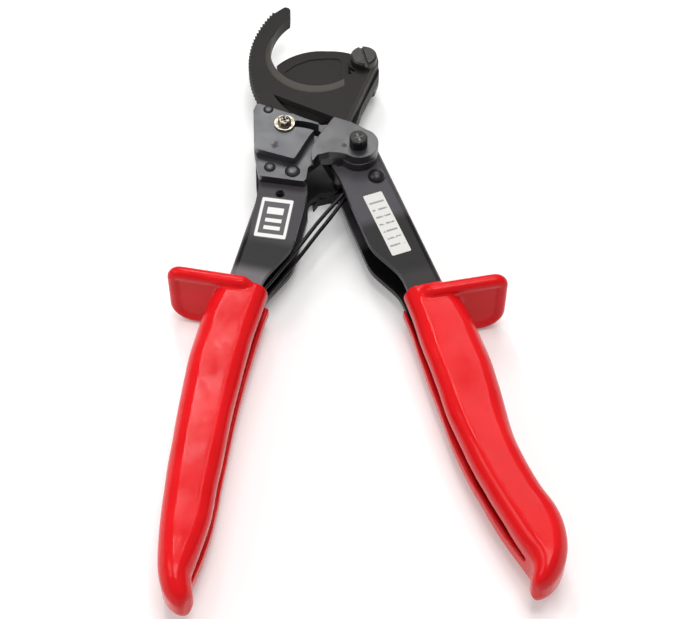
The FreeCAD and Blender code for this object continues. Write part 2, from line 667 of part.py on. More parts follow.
# ---------------------------------------------------------------- grips
def grip(handle, plan, end, slot_sizes, channel_solid, guard):
    """Dipped sleeve with a slot along its inner side, its guard moulded on."""
    body = prism(handle.outline(plan), -grip_half, grip_half)
    start = max(plan[0][0], plan[1][0])
    rims = [e for e in body.Edges if abs(abs(e.CenterOfMass.z) - grip_half) < 0.01
            and (e.CenterOfMass - handle.start).dot(handle.along) > start + 1]
    body = body.makeChamfer(grip_edge, rims)
    rounded = rounded_wire([(-end, -grip_half, 0), (end, -grip_half, grip_nose_radius),
                            (end, grip_half, grip_nose_radius), (-end, grip_half, 0)])
    side = Part.Face(rounded).translated(Vector(0, 0, -end)).extrude(Vector(0, 0, 2 * end))
    body = body.common(handle.upright(side, handle.along, 0, 0)).fuse(guard).removeSplitter()
    slot_end, near_depth, far_depth = slot_sizes
    opening = [(0, near_depth, 0), (slot_end, far_depth, 0), (slot_end, end, 0), (0, end, 0)]
    slot = prism(handle.outline(opening), -grip_slot_half, grip_slot_half)
    return body.cut(channel_solid).cut(slot)


def guard_plate(handle, s, lean_deg):
    """Hand guard, a rounded plate across the handle, leaning back from its inner end."""
    half = (guard_inner - guard_outer) / 2
    places = ((-half, -lift), (half, -lift), (half, guard_top), (-half, guard_top))
    flat = rounded_wire([(x, z, radius) for (x, z), radius in zip(places, guard_corners)])
    solid = Part.Face(flat).translated(Vector(0, 0, -guard_thick / 2)).extrude(Vector(0, 0, guard_thick))
    rims = [e for e in solid.Edges if abs(abs(e.CenterOfMass.z) - guard_thick / 2) < 0.01]
    solid = solid.makeChamfer(guard_edge, rims)
    solid.rotate(Vector(half, 0, 0), Vector(0, 1, 0), -handle.inward_sign * lean_deg)
    return handle.upright(solid, handle.inward, s, (guard_outer + guard_inner) / 2)


def fixed_grip():
    outside = prism(fixed_handle.outline(fixed_outer + fixed_inner + fixed_head), -flange_top, flange_top)
    guard = guard_plate(fixed_handle, fixed_guard_at, fixed_guard_lean_deg)
    return grip(fixed_handle, fixed_grip_plan, fixed_grip_end, fixed_slot, outside, guard)


def moving_grip():
    outside = prism(moving_handle.outline(moving_outer + moving_inner + moving_head), -plate_low, plate_low)
    guard = guard_plate(moving_handle, moving_guard_at, moving_guard_lean_deg)
    return grip(moving_handle, moving_grip_plan, moving_grip_end, moving_slot, outside, guard)


# ---------------------------------------------------------------- head plates, ears and cover
def head_plate(low, high):
    """Side plate of the swinging handle, round the handle pivot."""
    pivot = Vector(0, 0, 0)
    shape = plate(head_plate_plan, low, high).fuse(disc(pivot, pivot_eye_radius, low, high)).removeSplitter()
    holes = [(pivot, pivot_radius), (drive_pin, drive_pin_radius),
             (handle_rivet_at, handle_rivet_radius), (ear_dowel_at, ear_dowel_radius)]
    if high > 0:
        holes.append((cover_rivet_at, cover_rivet_radius))
        shape = shape.cut(release_slot(low, high))
    return through(shape, holes, low, high)


def release_slot(low, high):
    """Curved slot about the drive pawl's pin, for the release screw."""
    reach = release_at - drive_pin
    rest_deg = math.degrees(math.atan2(reach.y, reach.x))
    end_deg = rest_deg + pawl_ratio * handle_stroke_deg
    slot = arc_slot(drive_pin, reach.Length, release_radius + slot_clear, end_deg - slot_spare_deg,
                    rest_deg + slot_spare_deg)
    return prism(slot, low - 1, high + 1)


def ear_plate(low, high):
    """Ear that the pivot screw clamps on its head plate."""
    shape = plate(ear_plan, low, high).fuse(disc(ear_eye_at, pivot_eye_radius, low, high)).removeSplitter()
    return through(shape, [(Vector(0, 0, 0), pivot_radius), (ear_dowel_at, ear_dowel_radius)], low, high)


def cover_plate():
    """Cover over the drive pawl, riveted on the upper head plate."""
    shape = plate(cover_plan, plate_top, cover_top).cut(release_slot(plate_top, cover_top))
    return through(shape, [(cover_rivet_at, cover_rivet_radius)], plate_top, cover_top)


# ---------------------------------------------------------------- pawls
def nose_frame(nose_deg):
    """Nose tip just clear of the teeth, with the directions away from and along the rim."""
    tip = polar(blade_axis, rim_radius + pawl_clear, nose_deg)
    return tip, polar(Vector(), 1, nose_deg), polar(Vector(), 1, nose_deg + 90)


def from_nose(nose_deg, back, along):
    tip, away, around = nose_frame(nose_deg)
    return tip + away * back + around * along


release_at = from_nose(drive_nose_deg, release_back, release_along)


def pawl(nose_deg, hook, pin, hub, back, hub_radius, pin_radius):
    """Pawl outlined from its nose and from its pin, with a round hub on the pin."""
    low = blade_low
    high = low + pawl_thick
    hook_corners = [(from_nose(nose_deg, away, along), radius) for away, along, radius in hook]
    back_corners = [(from_nose(nose_deg, away, along), radius) for away, along, radius in back]
    corners = [(place.x, place.y, radius) for place, radius in hook_corners] + over(pin, hub)
    corners += [(place.x, place.y, radius) for place, radius in back_corners]
    shape = plate(corners, low, high).fuse(disc(pin, hub_radius, low, high)).removeSplitter()
    return shape.cut(disc(pin, pin_radius + pin_run_gap, low - 1, high + 1))


def drive_pawl():
    """Hook that pulls the rim round when the handles close."""
    shape = pawl(drive_nose_deg, drive_hook, drive_pin, drive_hub, drive_back, drive_hub_radius,
                 drive_pin_radius)
    return shape.cut(disc(release_at, release_radius, -1, blade_top + 1))


def holding_pawl():
    """Hook on the fixed handle that keeps the rim from springing back."""
    return pawl(hold_nose_deg, hold_hook, hold_pin, hold_hub, hold_back, hold_hub_radius, hold_pin_radius)


def release_screw():
    """Small nickel screw whose head is pushed to lift the drive pawl."""
    head_low = cover_top + slide_gap + washer_thick
    head_top = head_low + release_head_high
    head = bevelled_head(release_at, release_head_radius, head_low, head_top, release_head_edge)
    head = head.cut(cross_recess(release_at, head_top, release_cross_arm, release_cross_deep))
    return head.fuse(disc(release_at, release_radius, blade_low, head_low)).removeSplitter()


def release_washer():
    low = cover_top + slide_gap
    washer = disc(release_at, washer_radius, low, low + washer_thick)
    return washer.cut(disc(release_at, release_radius, low - 1, low + washer_thick + 1))


# ---------------------------------------------------------------- springs
def turns(centre, radius, from_z, to_z, from_deg, to_deg):
    """Points along the turns of a coil, between two angles and heights."""
    count = int(abs(to_deg - from_deg) / wire_step_deg)
    return [polar(centre, radius, from_deg + (to_deg - from_deg) * i / count,
                  from_z + (to_z - from_z) * i / count) for i in range(count + 1)]


def wire_along(points, radius):
    """Six-sided wire along straight runs, mitred at each point."""
    count = len(points)
    ways = [(last - first).normalize() for first, last in zip(points, points[1:])]
    side = ways[0].cross(Vector(0, 0, 1)).normalize()
    up = side.cross(ways[0])
    rings = []
    for i in range(wire_sides):
        turn = 2 * math.pi * (i + 0.5) / wire_sides
        rings.append([points[0] + (side * math.cos(turn) + up * math.sin(turn)) * radius])
    for i in range(1, count):
        way = ways[i - 1]
        normal = way if i == count - 1 else (way + ways[i]).normalize()
        for ring in rings:
            run = (points[i] - ring[-1]).dot(normal) / way.dot(normal)
            ring.append(ring[-1] + way * run)
    faces = []
    for k in range(wire_sides):
        here = rings[k]
        beside = rings[(k + 1) % wire_sides]
        for i in range(count - 1):
            corners = [here[i], beside[i], beside[i + 1], here[i + 1], here[i]]
            faces.append(Part.Face(Part.makePolygon(corners)))
    for i in (0, -1):
        end = [ring[i] for ring in rings]
        faces.append(Part.Face(Part.makePolygon(end + end[:1])))
    shape = Part.Solid(Part.Shell(faces))
    if shape.Volume < 0:
        shape.reverse()
    return shape


def return_spring():
    """Double torsion spring round the pivot bush; its long loop opens the handles."""
    radius = spring_wire / 2
    mean = bush_radius + radius + coil_clear
    axis = Vector(0, 0, 0)
    rise = (tang_deg - leg_deg) / 360 * (spring_wire + 0.02)
    low = blade_low + radius + 0.03
    tang_low = low + rise
    tang_high = tang_low + spring_wire + pin_run_gap
    high = tang_high + rise
    lower = turns(axis, mean, tang_low, low, tang_deg, leg_deg)
    upper = turns(axis, mean, high, tang_high, leg_deg, tang_deg)
    out = [lower[-1]] + [Vector(x, y, low + (loop_low - low) * part) for x, y, part in spring_leg]
    back = [Vector(x, y, high + (loop_high - high) * part) for x, y, part in spring_leg][::-1] + [upper[0]]
    onward = out[-1] - out[-2]
    onward.z = 0
    onward.normalize()
    middle = (out[-1] + back[0]) / 2
    half = (loop_high - loop_low) / 2
    loop = [middle + onward * (half * math.cos(math.radians(a))) + Vector(0, 0, half * math.sin(math.radians(a)))
            for a in (-60, -30, 0, 30, 60)]
    path = [Vector(tang_end.x, tang_end.y, tang_low)] + lower + out[1:] + loop + back + upper[1:]
    return wire_along(path + [Vector(tang_end.x, tang_end.y, tang_high)], radius)


def pawl_spring(centre, pin_radius, ends):
    """Torsion spring below a pawl, one leg on the frame and one under the arm."""
    radius = pawl_spring_wire / 2
    mean = pin_radius + radius + coil_clear
    low = -blade_top + radius + coil_clear
    high = -blade_low - radius - 0.15
    first, second = ends
    first_reach = first - centre
    second_reach = second - centre
    start_deg = (math.degrees(math.atan2(first_reach.y, first_reach.x))
                 + math.degrees(math.acos(mean / first_reach.Length)))
    end_deg = (math.degrees(math.atan2(second_reach.y, second_reach.x))
               - math.degrees(math.acos(mean / second_reach.Length)) + 360 * pawl_spring_turns)
    rounds = turns(centre, mean, low, high, start_deg, end_deg)
    return wire_along([Vector(first.x, first.y, low)] + rounds + [Vector(second.x, second.y, high)], radius)


def drive_pawl_spring():
    return pawl_spring(drive_pin, drive_pin_radius, drive_spring_ends)


def holding_pawl_spring():
    return pawl_spring(hold_pin, hold_pin_radius, hold_spring_ends)


# ---------------------------------------------------------------- all sub-parts
pieces = {
    "fixed_channel": fixed_channel, "fixed_grip": fixed_grip, "fixed_blade": fixed_blade,
    "pivot_bush": pivot_bush, "blade_bolt": blade_bolt, "blade_nut": blade_nut, "blade_rivet": blade_rivet,
    "holding_pawl_pin": holding_pawl_pin, "holding_pawl_spring": holding_pawl_spring,
    "moving_channel": moving_channel, "moving_grip": moving_grip, "cover_plate": cover_plate,
    "cover_rivet": cover_rivet, "handle_rivet": handle_rivet, "drive_pawl_pin": drive_pawl_pin,
    "drive_pawl_spring": drive_pawl_spring, "ear_dowels": ear_dowels, "pivot_screw": pivot_screw,
    "return_spring": return_spring, "moving_blade": moving_blade, "drive_pawl": drive_pawl,
    "release_screw": release_screw, "release_washer": release_washer, "holding_pawl": holding_pawl}
for name, build in pieces.items():
    save(name, build())
for side, (low, high) in both_sides(plate_low, plate_top).items():
    save("head_plate_" + side, head_plate(low, high))
for side, (low, high) in both_sides(plate_top, ear_top).items():
    save("ear_plate_" + side, ear_plate(low, high))
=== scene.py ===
import bmesh
import bpy
import math
from mathutils import Euler, Matrix, Vector, noise


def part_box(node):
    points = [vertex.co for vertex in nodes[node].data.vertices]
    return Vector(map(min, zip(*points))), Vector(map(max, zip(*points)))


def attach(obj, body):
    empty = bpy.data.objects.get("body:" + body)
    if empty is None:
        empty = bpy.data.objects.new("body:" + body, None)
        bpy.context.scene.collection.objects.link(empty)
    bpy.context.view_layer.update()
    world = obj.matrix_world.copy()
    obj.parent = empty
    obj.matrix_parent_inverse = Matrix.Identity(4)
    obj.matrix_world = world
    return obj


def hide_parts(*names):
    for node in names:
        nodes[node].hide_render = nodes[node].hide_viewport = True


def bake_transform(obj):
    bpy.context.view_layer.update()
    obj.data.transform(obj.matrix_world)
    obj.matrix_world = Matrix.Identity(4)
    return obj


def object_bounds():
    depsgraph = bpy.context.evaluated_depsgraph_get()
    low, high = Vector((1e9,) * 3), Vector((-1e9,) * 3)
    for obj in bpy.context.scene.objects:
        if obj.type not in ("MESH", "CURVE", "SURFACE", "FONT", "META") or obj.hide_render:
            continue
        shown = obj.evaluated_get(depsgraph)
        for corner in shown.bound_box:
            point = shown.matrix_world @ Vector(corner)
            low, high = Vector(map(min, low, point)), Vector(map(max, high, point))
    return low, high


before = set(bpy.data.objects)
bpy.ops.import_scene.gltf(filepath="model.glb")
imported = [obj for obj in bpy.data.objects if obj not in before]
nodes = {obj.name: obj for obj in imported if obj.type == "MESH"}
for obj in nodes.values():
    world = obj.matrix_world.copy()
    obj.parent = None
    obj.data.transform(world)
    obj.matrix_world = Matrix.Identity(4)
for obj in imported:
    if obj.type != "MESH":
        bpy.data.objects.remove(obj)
cad_low, cad_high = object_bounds()


# ---------------------------------------------------------------- hook blade and fixed blade
# Two hardened tool-steel plates, forged, then blackened all over in hot black oxide.
# The bevels of the mouth and of both straight edges are ground afterwards, so they
# show a warmer, lighter grey with fine lines that run along the edge.

def srgb(code):
    """An sRGB hex colour as linear red, green, blue and a full alpha."""
    parts = [int(code[i:i + 2], 16) / 255 for i in (1, 3, 5)]
    return [p / 12.92 if p <= 0.04045 else ((p + 0.055) / 1.055) ** 2.4 for p in parts] + [1.0]


def add(tree, kind, feeds=None, out=0, **settings):
    """Adds a node; feeds maps its inputs to values or sockets. Returns one of its outputs."""
    node = tree.nodes.new(kind)
    for name, value in settings.items():
        setattr(node, name, value)
    for place, value in (feeds or {}).items():
        if isinstance(value, bpy.types.NodeSocket):
            tree.links.new(value, node.inputs[place])
        else:
            node.inputs[place].default_value = value
    return node.outputs[out] if len(node.outputs) else None


def new_finish(name, colour, **shader):
    """A new material, its nodes, its shader and the object's own coordinates."""
    material = bpy.data.materials.new(name)
    material.use_nodes = True
    tree = material.node_tree
    tree.nodes.clear()
    shade = add(tree, "ShaderNodeBsdfPrincipled", {"Base Color": srgb(colour)})
    for socket, value in shader.items():
        shade.node.inputs[socket.replace("_", " ")].default_value = value
    add(tree, "ShaderNodeOutputMaterial", {"Surface": shade})
    return material, tree, shade.node, add(tree, "ShaderNodeTexCoord", out="Object")


def per_mm(size):
    """Noise scale for a pattern whose features are this many millimetres wide."""
    return 1000.0 / size


def clouded(tree, place, size, detail, first, second):
    """Colour that wanders between two in patches of this many millimetres."""
    share = add(tree, "ShaderNodeTexNoise",
                {"Vector": place, "Scale": per_mm(size), "Detail": detail})
    return add(tree, "ShaderNodeMix", {0: share, 6: srgb(first), 7: srgb(second)}, 2,
               data_type="RGBA")


def worn_and_highlit_edges(tree, surface, place, radius, height, strength, depth):
    """Softens the look of edges by radius mm over a bump; returns how much each point is lightened
    along the edges, partly for wear and partly as a painted highlight.
    """
    soft = add(tree, "ShaderNodeBevel", {"Radius": radius / 1000}, samples=6)
    bump = add(tree, "ShaderNodeBump", {"Height": height, "Strength": strength,
                                        "Distance": depth / 1000, "Normal": soft})
    tree.links.new(bump, surface.inputs["Normal"])
    flat = add(tree, "ShaderNodeNewGeometry", out="True Normal")
    # the cosine between the softened face and the real one falls from 1 towards an edge
    like = add(tree, "ShaderNodeVectorMath", {0: soft, 1: flat}, "Value", operation="DOT_PRODUCT")
    edge = add(tree, "ShaderNodeMapRange", {0: like, 1: 0.99, 2: 0.8},
               interpolation_type="SMOOTHSTEP")
    luck = add(tree, "ShaderNodeTexNoise", {"Vector": place, "Scale": per_mm(2.5)})
    luck = add(tree, "ShaderNodeMapRange", {0: luck, 1: 0.3, 2: 0.55, 3: 0.35},
               interpolation_type="SMOOTHSTEP")
    return add(tree, "ShaderNodeMath", {0: edge, 1: luck}, operation="MULTIPLY")


def coat(node_name, material):
    """Gives a CAD node its finish."""
    data = nodes[node_name].data
    data.materials.clear()
    data.materials.append(material)


rubbed_and_highlit_oxide = srgb("#4a4541")
ground_line = srgb("#48443f")
ground_steel = srgb("#5e5a54")
painted_shade_bevel = srgb("#070606")
mouth_bevel_centre = Vector((-0.0166, 0.0554, 0.0))     # metres

blade_black, tree, surface, place = new_finish(
    "black_oxide_tool_steel", "#231f1e", Metallic=0.3, Roughness=0.52, Specular_IOR_Level=0.35)
# black oxide lies a little unevenly over the forging's grain: matt, warm and nearly black
grain = add(tree, "ShaderNodeTexNoise", {"Vector": place, "Scale": per_mm(0.6)})
edge = worn_and_highlit_edges(tree, surface, place, 0.25, grain, 0.3, 0.08)
tone = clouded(tree, place, 9, 4.0, "#151211", "#211d1b")
# edges lightened towards grey: partly wear, partly a painted highlight
rubbed_and_highlit = add(tree, "ShaderNodeMath", {0: edge, 1: 0.6}, operation="MULTIPLY")
tone = add(tree, "ShaderNodeMix", {0: rubbed_and_highlit, 6: tone, 7: rubbed_and_highlit_oxide}, 2, data_type="RGBA")
# only the ground bevels slope, so the slope of the face finds them
facing = add(tree, "ShaderNodeNewGeometry", out="True Normal")
steep = add(tree, "ShaderNodeSeparateXYZ", {0: facing}, "Z")
steep = add(tree, "ShaderNodeMath", {0: steep}, operation="ABSOLUTE")
off_wall = add(tree, "ShaderNodeMapRange", {0: steep, 1: 0.2, 2: 0.26},
               interpolation_type="SMOOTHSTEP")
off_face = add(tree, "ShaderNodeMapRange", {0: steep, 1: 0.985, 2: 0.975},
               interpolation_type="SMOOTHSTEP")
ground = add(tree, "ShaderNodeMath", {0: off_wall, 1: off_face}, operation="MULTIPLY")
# grinding lines run round the mouth, drawn 0.3 mm apart, coarser than real ones, to show
ring = add(tree, "ShaderNodeVectorMath", {0: place, 1: mouth_bevel_centre}, "Value",
           operation="DISTANCE")
lines = add(tree, "ShaderNodeCombineXYZ", {0: ring})
lines = add(tree, "ShaderNodeTexNoise", {"Vector": lines, "Scale": per_mm(0.3)})
bright = add(tree, "ShaderNodeMix", {0: lines, 6: ground_line, 7: ground_steel}, 2,
             data_type="RGBA")
near_mouth = add(tree, "ShaderNodeMapRange", {0: ring, 1: 0.031, 2: 0.027, 3: 0.6},
                 interpolation_type="SMOOTHSTEP")
ground = add(tree, "ShaderNodeMath", {0: ground, 1: near_mouth}, operation="MULTIPLY")
# painted shade: the lower straight bevel past the mouth is painted near black, as a face in
# shadow, and made glossier
past_mouth = add(tree, "ShaderNodeMapRange", {0: ring, 1: 0.028, 2: 0.031},
                 interpolation_type="SMOOTHSTEP")
to_left = add(tree, "ShaderNodeSeparateXYZ", {0: place}, "X")
to_left = add(tree, "ShaderNodeMapRange", {0: to_left, 1: -0.004, 2: -0.007},
              interpolation_type="SMOOTHSTEP")
glossy_shaded_bevel = add(tree, "ShaderNodeMath", {0: past_mouth, 1: to_left}, operation="MULTIPLY")
bright = add(tree, "ShaderNodeMix", {0: glossy_shaded_bevel, 6: bright, 7: painted_shade_bevel}, 2, data_type="RGBA")
tone = add(tree, "ShaderNodeMix", {0: ground, 6: tone, 7: bright}, 2, data_type="RGBA")
tree.links.new(tone, surface.inputs["Base Color"])
smooth = add(tree, "ShaderNodeMapRange", {0: ground, 3: 0.52, 4: 0.36},
             interpolation_type="SMOOTHSTEP")
glossy_shaded_bevel = add(tree, "ShaderNodeMath", {0: ground, 1: glossy_shaded_bevel}, operation="MULTIPLY")
smooth = add(tree, "ShaderNodeMapRange", {0: glossy_shaded_bevel, 2: 0.5, 3: smooth, 4: 0.24},
             interpolation_type="SMOOTHSTEP")
tree.links.new(smooth, surface.inputs["Roughness"])
for name in ("moving_blade", "fixed_blade"):
    coat(name, blade_black)


# ---------------------------------------------------------------- head plates, ears and cover
# Laser-cut mild steel plate, tumbled and sprayed with thin semi-gloss black enamel:
# flat tops mirror the light as blue-grey while the edges stay nearly black.

def enamel(name, base, dusted, roughness, gloss):
    """Sprayed black enamel, with its orange peel, dust-dulled patches and edges lightened partly
    for wear and partly as a painted highlight.
    """
    material, tree, surface, place = new_finish(name, base, Specular_IOR_Level=gloss)
    peel = add(tree, "ShaderNodeTexNoise", {"Vector": place, "Scale": per_mm(0.8)})
    edge = worn_and_highlit_edges(tree, surface, place, 0.3, peel, 0.2, 0.05)
    dust = add(tree, "ShaderNodeTexNoise", {"Vector": place, "Scale": per_mm(7), "Detail": 3.0})
    tone = add(tree, "ShaderNodeMix", {0: dust, 6: srgb(base), 7: srgb(dusted)}, 2,
               data_type="RGBA")
    # edges lightened blue-grey: partly wear, partly a painted highlight
    rubbed_and_highlit = add(tree, "ShaderNodeMath", {0: edge, 1: 0.5}, operation="MULTIPLY")
    tone = add(tree, "ShaderNodeMix", {0: rubbed_and_highlit, 6: tone, 7: srgb("#6a6a70")}, 2,
               data_type="RGBA")
    tree.links.new(tone, surface.inputs["Base Color"])
    dull = add(tree, "ShaderNodeMapRange",
               {0: dust, 1: 0.3, 2: 0.7, 3: roughness - 0.05, 4: roughness + 0.07},
               interpolation_type="SMOOTHSTEP")
    tree.links.new(dull, surface.inputs["Roughness"])
    return material


# the upper plates are glossy and the cover a little bluer; the plates under the handles get a
# darker, duller enamel as painted shade
plate_enamel = enamel("semi_gloss_black_enamel", "#1c1c20", "#26262b", 0.33, 0.9)
cover_enamel = enamel("satin_blue_black_enamel", "#26272d", "#32343b", 0.36, 1.0)
shaded_under_enamel = enamel("shaded_dull_black_enamel", "#0d0d0e", "#171718", 0.5, 0.3)
for name in ("head_plate_top", "ear_plate_top"):
    coat(name, plate_enamel)
for name in ("head_plate_bottom", "ear_plate_bottom"):
    coat(name, shaded_under_enamel)
coat("cover_plate", cover_enamel)


# ---------------------------------------------------------------- channel handles
# Pressed mild steel channels, dipped in thin black enamel. Its tone is painted to change along
# each handle: lighter near the head, darker in the middle, and a lighter band just before each
# guard that is a painted reflection. The red vinyl dip reaches inside each channel a little way
# past its mouth.

class Handle:
    """A handle's own frame: along it from the head, and inwards to the other handle."""

    def __init__(self, start, lean_deg, inward_sign, body):
        lean = math.radians(lean_deg)
        self.start = Vector((start[0], start[1], 0.0))
        self.along = Vector((math.sin(lean), -math.cos(lean), 0.0))
        self.inward = Vector((-math.cos(lean), -math.sin(lean), 0.0)) * inward_sign
        self.body = body

    def at(self, along, inwards, up):
        """A point in mm, with up counted from the middle between the flanges."""
        return self.start + self.along * along + self.inward * inwards + Vector((0.0, 0.0, up))


fixed_handle = Handle((8.4, 2.6), 19.65, 1, "fixed_handle")
moving_handle = Handle((-37.2, -15.6), -13.7, -1, "moving_handle")


def channel_enamel(name, handle, tones, lined_from):
    """Black enamel whose tone changes along the handle, with a painted reflection among its tones,
    and the vinyl lining further down.
    """
    fade = 6                # mm, over which one tone turns into the next
    material, tree, surface, place = new_finish(name, tones[0][1], Roughness=0.34,
                                                Specular_IOR_Level=0.16)
    peel = add(tree, "ShaderNodeTexNoise", {"Vector": place, "Scale": per_mm(0.9)})
    edge = worn_and_highlit_edges(tree, surface, place, 0.3, peel, 0.15, 0.05)
    reach = add(tree, "ShaderNodeVectorMath", {0: place, 1: handle.start / 1000},
                operation="SUBTRACT")
    reach = add(tree, "ShaderNodeVectorMath", {0: reach, 1: handle.along}, "Value",
                operation="DOT_PRODUCT")
    # painted light: these tones include a painted reflection just before the guard
    tone = srgb(tones[0][1])
    for start, code in tones[1:]:
        share = add(tree, "ShaderNodeMapRange",
                    {0: reach, 1: (start - fade) / 1000, 2: start / 1000},
                    interpolation_type="SMOOTHSTEP")
        tone = add(tree, "ShaderNodeMix", {0: share, 6: tone, 7: srgb(code)}, 2, data_type="RGBA")
    dust = add(tree, "ShaderNodeTexNoise", {"Vector": place, "Scale": per_mm(5), "Detail": 3.0})
    dust = add(tree, "ShaderNodeMath", {0: dust, 1: 0.3}, operation="MULTIPLY")
    tone = add(tree, "ShaderNodeMix", {0: dust, 6: tone, 7: srgb("#2c292a")}, 2, data_type="RGBA")
    # edges lightened grey: partly wear, partly a painted highlight
    rubbed_and_highlit = add(tree, "ShaderNodeMath", {0: edge, 1: 0.8}, operation="MULTIPLY")
    tone = add(tree, "ShaderNodeMix", {0: rubbed_and_highlit, 6: tone, 7: srgb("#77757a")}, 2,
               data_type="RGBA")
    # the lining ends in a ragged edge, up to 6 mm further in at some places than at others
    ragged = add(tree, "ShaderNodeTexNoise", {"Vector": place, "Scale": per_mm(4)})
    ragged = add(tree, "ShaderNodeMath", {0: ragged, 1: 0.006}, operation="MULTIPLY")
    ragged = add(tree, "ShaderNodeMath", {0: reach, 1: ragged}, operation="ADD")
    lined = add(tree, "ShaderNodeMapRange",
                {0: ragged, 1: (lined_from + 2) / 1000, 2: (lined_from + 4) / 1000},
                interpolation_type="SMOOTHSTEP")
    tone = add(tree, "ShaderNodeMix", {0: lined, 6: tone, 7: srgb("#c4121a")}, 2,
               data_type="RGBA")
    tree.links.new(tone, surface.inputs["Base Color"])
    coat(name, material)


# each tone starts at its place along the handle, in mm; the lighter tone just before each guard is
# a painted reflection
channel_enamel("fixed_channel", fixed_handle,
               [(0, "#48454a"), (34, "#100e0e"), (60, "#2a2726")], 68)
channel_enamel("moving_channel", moving_handle,
               [(0, "#3c393d"), (26, "#0b0a09"), (40, "#6e6b6e")], 46.5)


# ---------------------------------------------------------------- dome-headed rivets and pins
# Mild steel rivets, pressed up cold, so each head keeps the ring of the setting punch; on the
# enamelled heads that ring and the rim round it are painted near black as painted shade. All share
# one shape with their own sizes.

def rivet_tree():
    """Geometry nodes that stand a rivet, head up, on each vertex that comes in."""
    skirt = -0.03               # the pressed-flat lower half, all in shares of the head's radius
    punch_ring, punch_width = 0.7, 0.16
    tree = bpy.data.node_groups.new("dome_headed_rivet", "GeometryNodeTree")
    tree.is_modifier = True
    face = tree.interface
    face.new_socket("Places", in_out="INPUT", socket_type="NodeSocketGeometry")
    for name in ("Head radius", "Head rise", "Punch mark", "Shank radius", "Shank length",
                 "Foot scale"):
        face.new_socket(name, in_out="INPUT", socket_type="NodeSocketFloat")
    face.new_socket("Finish", in_out="INPUT", socket_type="NodeSocketMaterial")
    face.new_socket("Rivets", in_out="OUTPUT", socket_type="NodeSocketGeometry")
    given = add(tree, "NodeGroupInput").node.outputs
    ball = add(tree, "GeometryNodeMeshUVSphere", {"Segments": 48, "Rings": 32, "Radius": 1.0},
               "Mesh")
    here = add(tree, "GeometryNodeInputPosition")
    here = add(tree, "ShaderNodeSeparateXYZ", {0: here}).node.outputs
    flat = add(tree, "ShaderNodeCombineXYZ", {0: here["X"], 1: here["Y"]})
    out = add(tree, "ShaderNodeVectorMath", {0: flat}, "Value", operation="LENGTH")
    # the ball's lower half is pressed flat, and the punch's ring sinks into its upper half
    dome = add(tree, "ShaderNodeMath", {0: here["Z"], 1: skirt}, operation="MAXIMUM")
    near = add(tree, "ShaderNodeMath", {0: out, 1: punch_ring}, operation="SUBTRACT")
    near = add(tree, "ShaderNodeMath", {0: near}, operation="ABSOLUTE")
    near = add(tree, "ShaderNodeMapRange", {0: near, 2: punch_width, 3: 1.0, 4: 0.0},
               interpolation_type="SMOOTHSTEP")
    upper = add(tree, "ShaderNodeMapRange", {0: here["Z"], 2: 0.1},
                interpolation_type="SMOOTHSTEP")
    sunk = add(tree, "ShaderNodeMath", {0: near, 1: upper}, operation="MULTIPLY")
    sunk = add(tree, "ShaderNodeMath", {0: sunk, 1: given["Punch mark"]}, operation="MULTIPLY")
    dome = add(tree, "ShaderNodeMath", {0: dome, 1: sunk}, operation="SUBTRACT")
    dome = add(tree, "ShaderNodeMath", {0: dome, 1: given["Head rise"]}, operation="MULTIPLY")
    dome = add(tree, "ShaderNodeCombineXYZ", {2: dome})
    wide = add(tree, "ShaderNodeVectorMath", {0: flat, "Scale": given["Head radius"]},
               operation="SCALE")
    shape = add(tree, "ShaderNodeVectorMath", {0: wide, 1: dome}, operation="ADD")
    # the outer part of the head, where the enamelled heads are painted dark as painted shade
    rim = add(tree, "ShaderNodeMapRange", {0: out, 1: 0.5, 2: 0.75},
              interpolation_type="SMOOTHSTEP")
    head = add(tree, "GeometryNodeStoreNamedAttribute", {0: ball, "Name": "rim", "Value": rim},
               data_type="FLOAT", domain="POINT")
    head = add(tree, "GeometryNodeSetPosition", {0: head, "Position": shape})
    half = add(tree, "ShaderNodeMath", {0: given["Shank length"], 1: 0.5}, operation="MULTIPLY")
    top = add(tree, "ShaderNodeCombineXYZ", {2: half})
    upper_head = add(tree, "GeometryNodeTransform", {0: head, "Translation": top})
    half = add(tree, "ShaderNodeMath", {0: half, 1: -1.0}, operation="MULTIPLY")
    under = add(tree, "ShaderNodeCombineXYZ", {2: half})
    size = given["Foot scale"]
    size = add(tree, "ShaderNodeCombineXYZ", {0: size, 1: size, 2: size})
    lower_head = add(tree, "GeometryNodeTransform",
                     {0: head, "Translation": under, "Scale": size,
                      "Rotation": Euler((math.pi, 0.0, 0.0))})
    shank = add(tree, "GeometryNodeMeshCylinder",
                {"Vertices": 32, "Radius": given["Shank radius"],
                 "Depth": given["Shank length"]}, "Mesh")
    whole = add(tree, "GeometryNodeJoinGeometry")
    for part in (upper_head, lower_head, shank):
        tree.links.new(part, whole.node.inputs[0])
    stood = add(tree, "GeometryNodeInstanceOnPoints",
                {"Points": given["Places"], "Instance": whole})
    real = add(tree, "GeometryNodeRealizeInstances", {0: stood})
    smooth = add(tree, "GeometryNodeSetShadeSmooth", {0: real})
    finished = add(tree, "GeometryNodeSetMaterial", {0: smooth, "Material": given["Finish"]})
    add(tree, "NodeGroupOutput", {0: finished})
    return tree


def show(name, data, body, slot, *stands_for):
    """Shows a finished mesh as a piece that rides on a body and stands for its CAD nodes."""
    piece = bpy.data.objects.new(name, data)
    bpy.context.scene.collection.objects.link(piece)
    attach(piece, body)
    if stands_for:
        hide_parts(*stands_for)


def as_made(piece, name):
    """The piece's evaluated mesh as a plain one; the piece itself goes."""
    evaluated = piece.evaluated_get(bpy.context.evaluated_depsgraph_get())
    data = bpy.data.meshes.new_from_object(evaluated)
    data.name = name
    bpy.data.objects.remove(piece)
    return data


